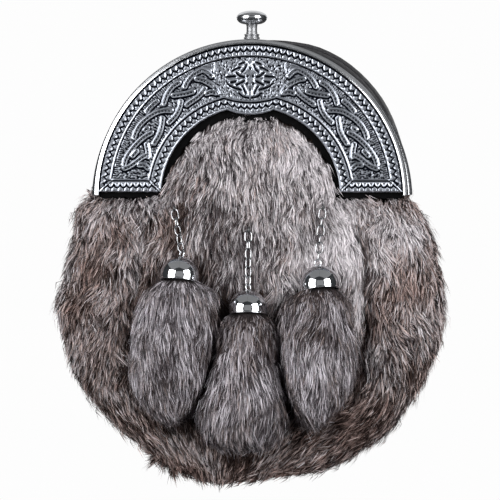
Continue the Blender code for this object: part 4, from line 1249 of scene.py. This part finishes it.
def grow(name, hide, seed, count, per_clump, clump_radius, gather, width, hindmost, **fields):
    """Locks of hair on a hide: clumps that share a heading and gather towards their tips. The fields are functions
    of place for the hair's weight, comb, length, depth, tint and how free of the hide it is."""
    points, corners, _ = triangles_of(hide)
    tree = BVHTree.FromPolygons([Vector(p) for p in points], corners.tolist())
    rng = np.random.default_rng(seed)
    clumps = count // per_clump
    shape = (clumps, per_clump)
    place, normal = scatter_on(hide, clumps, rng, fields["weight"])
    spot = place / MM
    heading = fields["comb"](spot, rng)
    heading = unit(heading - normal * (heading * normal).sum(1)[:, None])
    length, depth = fields["length"](spot, rng), fields["depth"](spot, rng)
    path, up = [place], [normal]
    free = fields["free"](spot)[:, None]
    for part in (0.5, 1.0):
        want = place + heading * (length * part)[:, None]
        found = [tree.find_nearest(Vector(p)) for p in want]
        path.append(np.array([f[0] for f in found]) * (1 - free) + want * free)
        facing = np.array([f[1] for f in found])
        facing *= np.sign((facing * normal).sum(1))[:, None]
        up.append(unit(facing + normal * 0.5))
    across = unit(np.cross(up[0], heading))
    spread = clump_radius * np.sqrt(rng.random(shape))
    turn = rng.uniform(0, math.tau, shape)
    side_off, ahead_off = spread * np.cos(turn), spread * np.sin(turn) * 1.6
    stretch = rng.normal(1.0, 0.10, shape)
    stand = rng.normal(0, 0.18, (clumps, 1))
    rise = np.clip(rng.normal(0.72, 0.20, shape) + stand, 0.15, 1.5)
    sway = rng.normal(0, SWAY, shape)

    def at(step, keep, lift, drift):
        base = path[step][:, None] + across[:, None] * (side_off * keep + drift)[..., None]
        base = base + heading[:, None] * (ahead_off * max(keep, 0.6))[..., None]
        if step == 2:
            base = base + heading[:, None] * ((stretch - 1) * length[:, None])[..., None]
        return base + up[step][:, None] * (lift * depth[:, None])[..., None]

    roots = at(0, 1.0, -0.15 * np.ones(shape), 0.0)
    middles = at(1, 1 - gather * 0.35, rise * 0.80, sway * 0.35)
    tips = at(2, 1 - gather, rise * rng.uniform(0.7, 1.15, shape), sway)
    roll = rng.normal(0, 0.45, shape)
    sides = across[:, None] * np.cos(roll)[..., None] + up[1][:, None] * np.sin(roll)[..., None]
    widths = width * rng.uniform(0.6, 1.3, shape)
    tone, family = fields["tint"](spot, rng, shape)
    # painted shade: clumps that stand lower are darker, clumps that stand higher lighter
    tone = tone + 0.55 * stand
    flat = [v.reshape(-1, 3) for v in (roots, middles, tips, sides)]
    for points in flat[:3]:
        points[:, 1] = np.minimum(points[:, 1], hindmost)
    return blades(name, *flat, widths.reshape(-1), tone.reshape(-1), family.reshape(-1))


FUR_FAMILIES = (  # dark and light ends of each family of hair
    ((0.066, 0.052, 0.056), (0.92, 0.87, 0.90)),
    ((0.040, 0.027, 0.025), (0.72, 0.635, 0.64)),
    ((0.027, 0.014, 0.010), (0.62, 0.485, 0.455)),
    ((0.012, 0.0055, 0.004), (0.35, 0.24, 0.215)),
)
TASSEL_FAMILIES = (
    ((0.062, 0.050, 0.055), (0.78, 0.735, 0.79)),
    ((0.041, 0.030, 0.031), (0.54, 0.485, 0.505)),
    ((0.030, 0.019, 0.017), (0.37, 0.30, 0.285)),
    ((0.018, 0.011, 0.010), (0.20, 0.15, 0.14)),
)
TASSEL_MARKINGS = {  # soft patches of each tassel, the same way
    "left": (
        (-50, -114, 4.5, 21, 0.72),
        (-39, -116, 8, 12, -0.42),
        (-43, -98, 5, 7, 0.42),
        # the next two are painted shade, on the side towards the middle tassel
        (-19, -132, 6, 22, -0.9),
        (-17, -99, 3, 9, -0.6),
    ),
    # the patch at x -12 is painted shade, on the side towards the left tassel
    "middle": ((2, -118, 6, 7, 0.5), (10, -118, 7, 22, -0.7), (-12, -104, 5, 14, -1.0), (18, -142, 4, 8, 0.3)),
    "right": ((25, -122, 9, 20, 0.14), (30, -102, 9, 7, -0.30), (28, -136, 6, 12, -0.24), (39, -121, 6, 8, 0.3)),
}


def salt_and_pepper(tone, rng, shape, calm=0.0, bite=1.0):
    """A tone for each hair: clumps differ, and up to a third of the hairs are dark guard hairs."""
    tone = tone[:, None] - 0.01 + rng.normal(0, 0.17, (shape[0], 1))
    guard = 0.36 * (1 - np.broadcast_to(calm, shape[:1]))[:, None]
    hairs = rng.normal(0, 0.24, shape) + np.where(rng.random(shape) < guard, -0.58, 0.24)
    return tone + np.broadcast_to(bite, shape[:1])[:, None] * hairs


def choose_family(warm, rng, shape):
    """A family for each hair: the higher warm is, the browner."""
    spot = warm[:, None] + rng.normal(0, 0.22, shape)
    return np.clip(np.floor(spot * 3.2), 0, 3).astype(int)


FRONT_SHARE, FUR_BOTTOM_Z = 0.45, -138  # where the pouch's four pieces of fur meet
WISPS, NECK_SHARE = 900, 0.13  # hairs at the upper corners, and on the neck for each of the pouch's
NECK_HAIR_R, NECK_HAIR_LOW = 39.6, -72  # how far the neck's hair reaches
TASSEL_INSET, TASSEL_PILE, TASSEL_DEPTH = 2.9, 0.0110, 0.0035  # millimetres; the pile's length and depth in metres


class SPORRAN_OT_pouch_fur(bpy.types.Operator):
    """Hide of the pouch, and its fur in four pieces"""

    bl_idname = "sporran.pouch_fur"
    bl_label = "Pouch fur"

    def execute(self, context):
        sizes = context.scene.sporran_sizes
        inset = sizes.pile_depth / MM
        skin = hide_finish("pouch_hide", (0.020, 0.012, 0.009), (0.070, 0.048, 0.040))
        hair = hair_finish("pouch_hair", FUR_FAMILIES, (0.018, 0.010, 0.008))
        body = piece("pouch_hide", pouch_hide(inset), skin, ["fur_pouch"], mend=False)
        neck = piece("neck_hide", neck_hide(inset), skin, mend=False)
        waves = ((3, 6.5), (4, 30.0), (5, 12.0), (6, 36.0), (7, 22.0))
        mottle, patches, bend, curl, warmth = (Waves(*each) for each in waves)

        def in_tuft(x, z):
            return hill(x, -40, 11) * hill(z, -168.8, 6)

        def free(place):
            """Hair that leaves the hide: the tuft and the ragged lower edge."""
            x, _, z = place.T
            return np.clip(1.3 * in_tuft(x, z) + 0.22 * ease(-z, 150, 172), 0, 1)

        def comb(place, rng):
            x, _, z = place.T
            across = across_of(x, z)
            lean = np.radians(2 + 13 * np.abs(across) ** 2) * np.sign(across) * ease(z, -150, -100)
            stray = np.radians(16) * bend(place) + np.radians(7) * curl(place) + rng.normal(0, 0.22, len(x))
            lean += stray * (1 - 0.5 * ease(z, -85, -50) * hill(x, 0, 45))
            lean *= 1 - 0.7 * in_groove(x, z, 6.0)
            flow = headings(np.sin(lean), -np.cos(lean))
            home = unit(headings(-16 - x, -184 - z - 14.0))  # towards the lowest point
            band = ease(-z, 122, 150)[:, None]
            home[:, 2] += rng.normal(0, 0.22, len(x))
            flow = flow * (1 - band) + home * band
            tuft = in_tuft(x, z)[:, None]
            fan = np.interp(x, (-48, -42, -34, -24), (-1.0, -0.85, 0.6, 0.9)) + rng.normal(0, 0.22, len(x))
            return unit(flow * (1 - tuft) + headings(fan, np.interp(x, (-42, -34), (-0.56, -0.36))) * tuft)

        def length(place, rng):
            x, _, z = place.T
            base = sizes.pile_length * varied(rng, len(x), 0.16, 0.6, 1.5)
            near_neck = ease(z, -30.0, -10.0)
            longer = 0.7 * in_tuft(x, z) * ease(-x, 36, 44)
            longer -= 0.45 * hill(x, -31, 6) * ease(-z, 168, 174)
            near_neck = near_neck + 0.5 * ease(z, -70, -40) * (1 - near_neck)
            return base * (1 + longer - 0.35 * near_neck - 0.15 * ease(-z, 124, 150))

        def depth(place, rng):
            x, _, z = place.T
            base = sizes.pile_depth * varied(rng, len(x), 0.22, 0.5, 1.7)
            clear = np.zeros(len(x))
            for side, (dome_x, dome_z, _, _, _) in TASSELS.items():
                low, high = (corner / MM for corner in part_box(f"chain_anchor_{side}"))
                beside = hill(x, dome_x, 3.4) * ease(z, dome_z - 4, dome_z + 4)
                clear = np.maximum(clear, 1.7 * beside * ease(high.z - 2 - z, 0, 4))
                ring = np.hypot(x - dome_x, z - 4 - dome_z) / CAP_R
                clear = np.maximum(clear, 1.7 * hill(np.maximum(ring, 1), 1, 0.45))
                over = hill(x, (low.x + high.x) / 2, 3.5)
                clear = np.minimum(clear, 1.7) - 1.5 * over * hill(z, high.z + 4, 3.5)
            return base * (1 - 0.45 * clear) * (1 - 0.6 * in_groove(x, z, 2.6))

        def tint(place, rng, shape):
            x, _, z = place.T
            off = np.abs(across_of(x, z))
            aside, low = ease(off, 0.5, 0.7), ease(-z, 124, 152)
            groove, painted_shading = in_groove(x, z - 3, 2.2), beside_tassels(x, z - 2)
            marks = marked(MARKINGS, x, z - 5) + 0.5 * hill(x, 43, 10) * hill(z, -68, 30)
            light = np.clip(marks, 0, 0.7)
            tone = 0.48 + 0.14 * hill(x, 12, 32) * ease(z, -72, -45) + 0.12 * ease(z, -40, -10) * hill(x, 10, 34)
            # painted shade: the hair is darker round the tassels, their caps and chains, and browner there below
            tone += marked(BROAD, x, z) + marks - 0.14 * low - 0.70 * groove - 0.72 * painted_shading
            tone += (0.17 + 0.13 * aside) * mottle(place * np.array([1.0, 1.0, 0.42])) + 0.08 * patches(place)
            tone = salt_and_pepper(tone, rng, shape, light, 1 + 0.32 * np.maximum(aside, low))
            warm = 0.40 + 0.22 * ease(off, 0.58, 0.7) + 0.16 * warmth(place) - 0.62 * light
            warm += 0.14 * hill(x, -16, 14) * hill(z, -88, 24) - 0.38 * hill(x, 5, 36) * ease(z, -75, -45)
            warm += 0.34 * low + 0.40 * groove + 0.26 * painted_shading
            return tone, choose_family(warm, rng, shape)

        plan = {
            "per_clump": 12,
            "comb": comb,
            "length": length,
            "depth": depth,
            "clump_radius": 0.0016,
            "gather": 0.60,
            "free": free,
            "width": sizes.hair_width,
            "tint": tint,
            "hindmost": (PANEL_FRONT - 0.2) * MM,
        }

        def add(name, hide, **more):
            piece(name, grow(name, hide, **{**plan, **more}), hair)

        def where(test):
            """The places of one piece's hair: not inside the frame, and thinner behind."""

            def weight(place, facing):
                x, y, z = place.T
                left, right, _ = pouch_edges(z)
                behind_panel = (y > -4.5) & (x > left + 12) & (x < right - 12) & (z > -170)
                keep = (z < -45.2) * np.where(y > -5.0, 0.35, 1.0)
                return np.where(behind_panel, 0.0, keep) * test(across_of(x, z), z)

            return weight

        edge, low = FRONT_SHARE, FUR_BOTTOM_Z
        parts = (
            ("fur_left", 0.26, lambda across, z: (across < -edge) & (z > low)),
            ("fur_right", 0.26, lambda across, z: (across > edge) & (z > low)),
            ("fur_front", 0.20, lambda across, z: (np.abs(across) <= edge) & (z > low)),
            ("fur_bottom", 0.20, lambda across, z: z <= low),
        )
        for i, (name, share, test) in enumerate(parts):
            add(name, body, seed=20 + i, count=int(sizes.pouch_hairs * share), weight=where(test))

        def wisps_at(place, facing):
            """The upper corners, beside the frame."""
            x, y, z = place.T
            return (z > -47) & (np.abs(across_of(x, z)) > 0.90) & (y < -12)

        def upward(place, rng):
            side = np.sign(place[:, 0])
            return headings(0.15 * side + rng.normal(0, 0.35, len(side)), np.ones(len(side)))

        wisps = {"comb": upward, "free": lambda place: np.full(len(place), 0.9), "weight": wisps_at}
        wisps["length"] = lambda place, rng: length(place, rng) * rng.uniform(0.35, 0.95, len(place))
        add("fur_wisps", body, seed=29, count=WISPS, **wisps)

        def on_neck(place, facing):
            x, _, z = place.T
            within = np.hypot(x, np.maximum(z - ARCH_Z, 0)) < NECK_HAIR_R
            return within & (facing[:, 1] < -0.05) & (z > NECK_HAIR_LOW)

        add("fur_neck", neck, seed=30, count=int(sizes.pouch_hairs * NECK_SHARE), weight=on_neck)
        return {"FINISHED"}


class SPORRAN_OT_tassels(bpy.types.Operator):
    """The three fur tassels"""

    bl_idname = "sporran.tassels"
    bl_label = "Tassels"

    def execute(self, context):
        sizes = context.scene.sporran_sizes
        skin = hide_finish("tassel_core", (0.014, 0.011, 0.012), (0.05, 0.042, 0.042))
        hair = hair_finish("tassel_hair", TASSEL_FAMILIES, (0.018, 0.014, 0.014))
        for i, side in enumerate(TASSELS):
            node = f"tassel_fur_{side}"
            bm = bmesh.new()
            bm.from_mesh(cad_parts[node].data)
            bmesh.ops.remove_doubles(bm, verts=bm.verts, dist=1e-6)
            low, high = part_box(node)
            middle = (low + high) / 2
            centre = cap_place(side)[0]
            top_z = centre.z - CAP_SKIRT
            for vertex in bm.verts:
                drop = top_z - vertex.co.z / MM
                vertex.co -= vertex.normal * (TASSEL_INSET * MM * float(ease(drop, 4, 12)))
                swell = 1 + 0.30 * float(hill(drop, 1.5, 2.6))
                vertex.co.x = centre.x * MM + (vertex.co.x - centre.x * MM) * swell
                vertex.co.y = centre.y * MM + (vertex.co.y - centre.y * MM) * swell
                if side == "left":  # this one ends blunt
                    vertex.co.x = middle.x + (vertex.co.x - middle.x) * (1 + 0.28 * float(ease(drop, 36, 56)))
            ways = {"use_axis_x": True, "use_axis_y": True, "use_axis_z": True}
            bmesh.ops.smooth_vert(bm, verts=bm.verts, factor=0.5, **ways)
            bmesh.ops.subdivide_edges(bm, edges=bm.edges, cuts=1, use_grid_fill=True, smooth=0.6)
            bmesh.ops.triangulate(bm, faces=bm.faces)
            core = piece(f"tassel_core_{side}", bm, skin, [node])
            streak, bend = Waves(50 + i, 6.0), Waves(60 + i, 18.0)
            half, mid_x = (high.x - low.x) / 2 / MM, middle.x / MM

            def comb(place, rng):
                x, y, z = place.T
                lean = 0.16 * bend(place) + rng.normal(0, 0.10, len(x))
                out = unit(np.stack([x - centre.x, y - centre.y, np.zeros(len(x))], 1))
                return headings(np.sin(lean), -np.cos(lean)) + out * (1.5 * ease(z, top_z - 9, top_z))[:, None]

            def length(place, rng):
                low_part = ease(-place[:, 2], -(low.z / MM) - 26, -(low.z / MM) - 8)
                return TASSEL_PILE * varied(rng, len(place), 0.15, 0.6, 1.5) * (1 - 0.2 * low_part)

            def depth(place, rng):
                close = ease(top_z - place[:, 2], -1.0, 3.0)
                return TASSEL_DEPTH * varied(rng, len(place), 0.2, 0.5, 1.6) * (0.25 + 0.75 * close)

            def tint(place, rng, shape):
                x, _, z = place.T
                aside, drop = ease(np.abs(x - mid_x) / half, 0.6, 1.0), top_z - z
                crown = (0.0 if side == "left" else 1.0) * (1 - ease(drop, 8, 20))
                tone = 0.42 - 0.34 * aside - 0.10 * crown - 0.08 * ease(drop, 42, 58)
                tone += marked(TASSEL_MARKINGS[side], x, z - 5) + 0.24 * streak(place * np.array([1, 1, 0.5]))
                tone = salt_and_pepper(tone, rng, shape, bite=1.3)
                warm = 0.24 + 0.12 * bend(place * 1.3) + 0.25 * aside + 0.22 * ease(drop, 36, 60) + 0.26 * crown
                return tone, choose_family(warm, rng, shape)

            def free(place):
                """The lowest hairs run past the end of the core."""
                return 0.8 * ease(top_z - place[:, 2], 40, 54)

            def weight(place, facing):
                drop = top_z - place[:, 2]
                crown = 1 + 1.8 * (1 - ease(drop, 3, 9))
                return np.where(drop < -1.6, 0.0, np.where(facing[:, 1] > 0.55, 0.3, 1.0) * crown)

            plan = {
                "seed": 40 + i,
                "count": sizes.tassel_hairs,
                "per_clump": 9,
                "weight": weight,
                "comb": comb,
                "length": length,
                "depth": depth,
                "free": free,
                "clump_radius": 0.0012,
                "gather": 0.40,
                "width": sizes.hair_width * 0.88,
                "tint": tint,
                "hindmost": 1.0,
            }
            name = f"tassel_hair_{side}"
            piece(name, grow(name, core, **plan), hair)
        return {"FINISHED"}


# --- stage

VIEW_AZIMUTH, VIEW_ELEVATION, VIEW_DISTANCE, VIEW_LENS = 4, 2, 1.4, 211.0
VIEW_TARGET = Vector((0.0, -0.033, -0.0693))
FLOOR_Z, FLOOR_REACH, FLOOR_CURVE = -300, 3400, 900
LIGHTS = (  # name, azimuth, elevation, distance, width, height, watts
    ("softbox_left", -45, 14, 1.10, 0.78, 0.80, 12.6),
    ("softbox_right", 50, 14, 1.10, 0.72, 0.80, 12.8),
    ("front_wall", 4, 12, 2.2, 1.7, 1.5, 2.2),
    ("ceiling_left", -90, 66, 1.25, 2.0, 1.1, 1.6),
    ("ceiling_right", 90, 66, 1.25, 2.0, 1.1, 1.6),
    ("back_wall", 184, 28, 1.8, 2.8, 1.8, 12.0),
)


def set_round_pouch(data, azimuth, elevation, distance):
    """A light or camera at an angle and distance from the pouch, turned towards it."""
    a, e = math.radians(azimuth), math.radians(elevation)
    away = Vector((math.sin(a) * math.cos(e), -math.cos(a) * math.cos(e), math.sin(e)))
    thing = bpy.data.objects.new(data.name, data)
    bpy.context.scene.collection.objects.link(thing)
    thing.rotation_mode = "QUATERNION"
    thing.location, thing.rotation_quaternion = VIEW_TARGET + away * distance, (-away).to_track_quat("-Z", "Y")
    return thing


class SPORRAN_OT_stage(bpy.types.Operator):
    """Pale floor that curves up all round, soft lights and the camera"""

    bl_idname = "sporran.stage"
    bl_label = "Stage"

    def execute(self, context):
        scene = context.scene
        pale = scene.sporran_finishes.floor
        f = Finish("pale_floor", base_color=(0, 0, 0), roughness=0.9, specular_ior_level=0, emission_strength=1)
        f.feed("Emission Color", f.mix(f.noise(3.0, 2.0), dimmed(pale, 0.996), pale))
        wall = FLOOR_REACH - FLOOR_CURVE
        profile = [(0, FLOOR_Z), (wall, FLOOR_Z)]
        for i in range(1, 13):
            a = math.pi / 2 * i / 12
            profile.append((wall + FLOOR_CURVE * math.sin(a), FLOOR_Z + FLOOR_CURVE * (1 - math.cos(a))))
        profile += [(FLOOR_REACH, 3200), (FLOOR_REACH - 800, 4000), (0, 4000)]
        bm = turned(profile, 64)
        bmesh.ops.reverse_faces(bm, faces=bm.faces)
        mesh = mesh_from(bm, "studio_floor", mend=False)
        mesh.materials.append(f.material)
        floor = bpy.data.objects.new("studio_floor", mesh)
        scene.collection.objects.link(floor)
        floor.visible_diffuse = floor.visible_glossy = floor.visible_shadow = False

        for name, azimuth, elevation, distance, width, height, watts in LIGHTS:
            lamp = bpy.data.lights.new(name, "AREA")
            lamp.shape, lamp.size, lamp.size_y, lamp.energy = "RECTANGLE", width, height, watts
            set_round_pouch(lamp, azimuth, elevation, distance).visible_camera = False

        world = bpy.data.worlds.new("dim_studio")
        scene.world = world
        world.use_nodes = True
        background = world.node_tree.nodes["Background"]
        background.inputs["Color"].default_value = (0.90, 0.95, 1.0, 1.0)
        background.inputs["Strength"].default_value = 0.05
        scene.view_settings.view_transform = "Standard"

        lens = bpy.data.cameras.new("camera")
        lens.lens, lens.sensor_width, lens.clip_start, lens.clip_end = VIEW_LENS, 36.0, 0.05, 20.0
        scene.camera = set_round_pouch(lens, VIEW_AZIMUTH, VIEW_ELEVATION, VIEW_DISTANCE)
        return {"FINISHED"}


# --- panel and registration

STEPS = (
    SPORRAN_OT_stage,
    SPORRAN_OT_cantle,
    SPORRAN_OT_frame_bands,
    SPORRAN_OT_knob,
    SPORRAN_OT_leather,
    SPORRAN_OT_chains,
    SPORRAN_OT_caps,
    SPORRAN_OT_pouch_fur,
    SPORRAN_OT_tassels,
)


class SPORRAN_PT_steps(bpy.types.Panel):
    bl_label = "Sporran pouch"
    bl_idname = "SPORRAN_PT_steps"
    bl_space_type = "VIEW_3D"
    bl_region_type = "UI"
    bl_category = "Sporran"

    def draw(self, context):
        for group in (context.scene.sporran_sizes, context.scene.sporran_finishes):
            for key in group.__annotations__:
                self.layout.prop(group, key)
        for step in STEPS:
            self.layout.operator(step.bl_idname)


CLASSES = (SporranSizes, SporranFinishes, *STEPS, SPORRAN_PT_steps)


def register():
    for each in CLASSES:
        bpy.utils.register_class(each)
    bpy.types.Scene.sporran_sizes = bpy.props.PointerProperty(type=SporranSizes)
    bpy.types.Scene.sporran_finishes = bpy.props.PointerProperty(type=SporranFinishes)


def unregister():
    del bpy.types.Scene.sporran_sizes, bpy.types.Scene.sporran_finishes
    for each in reversed(CLASSES):
        bpy.utils.unregister_class(each)


def main():
    register()
    for step in STEPS:
        group, name = step.bl_idname.split(".")
        getattr(getattr(bpy.ops, group), name)()


if __name__ == "__main__":
    main()
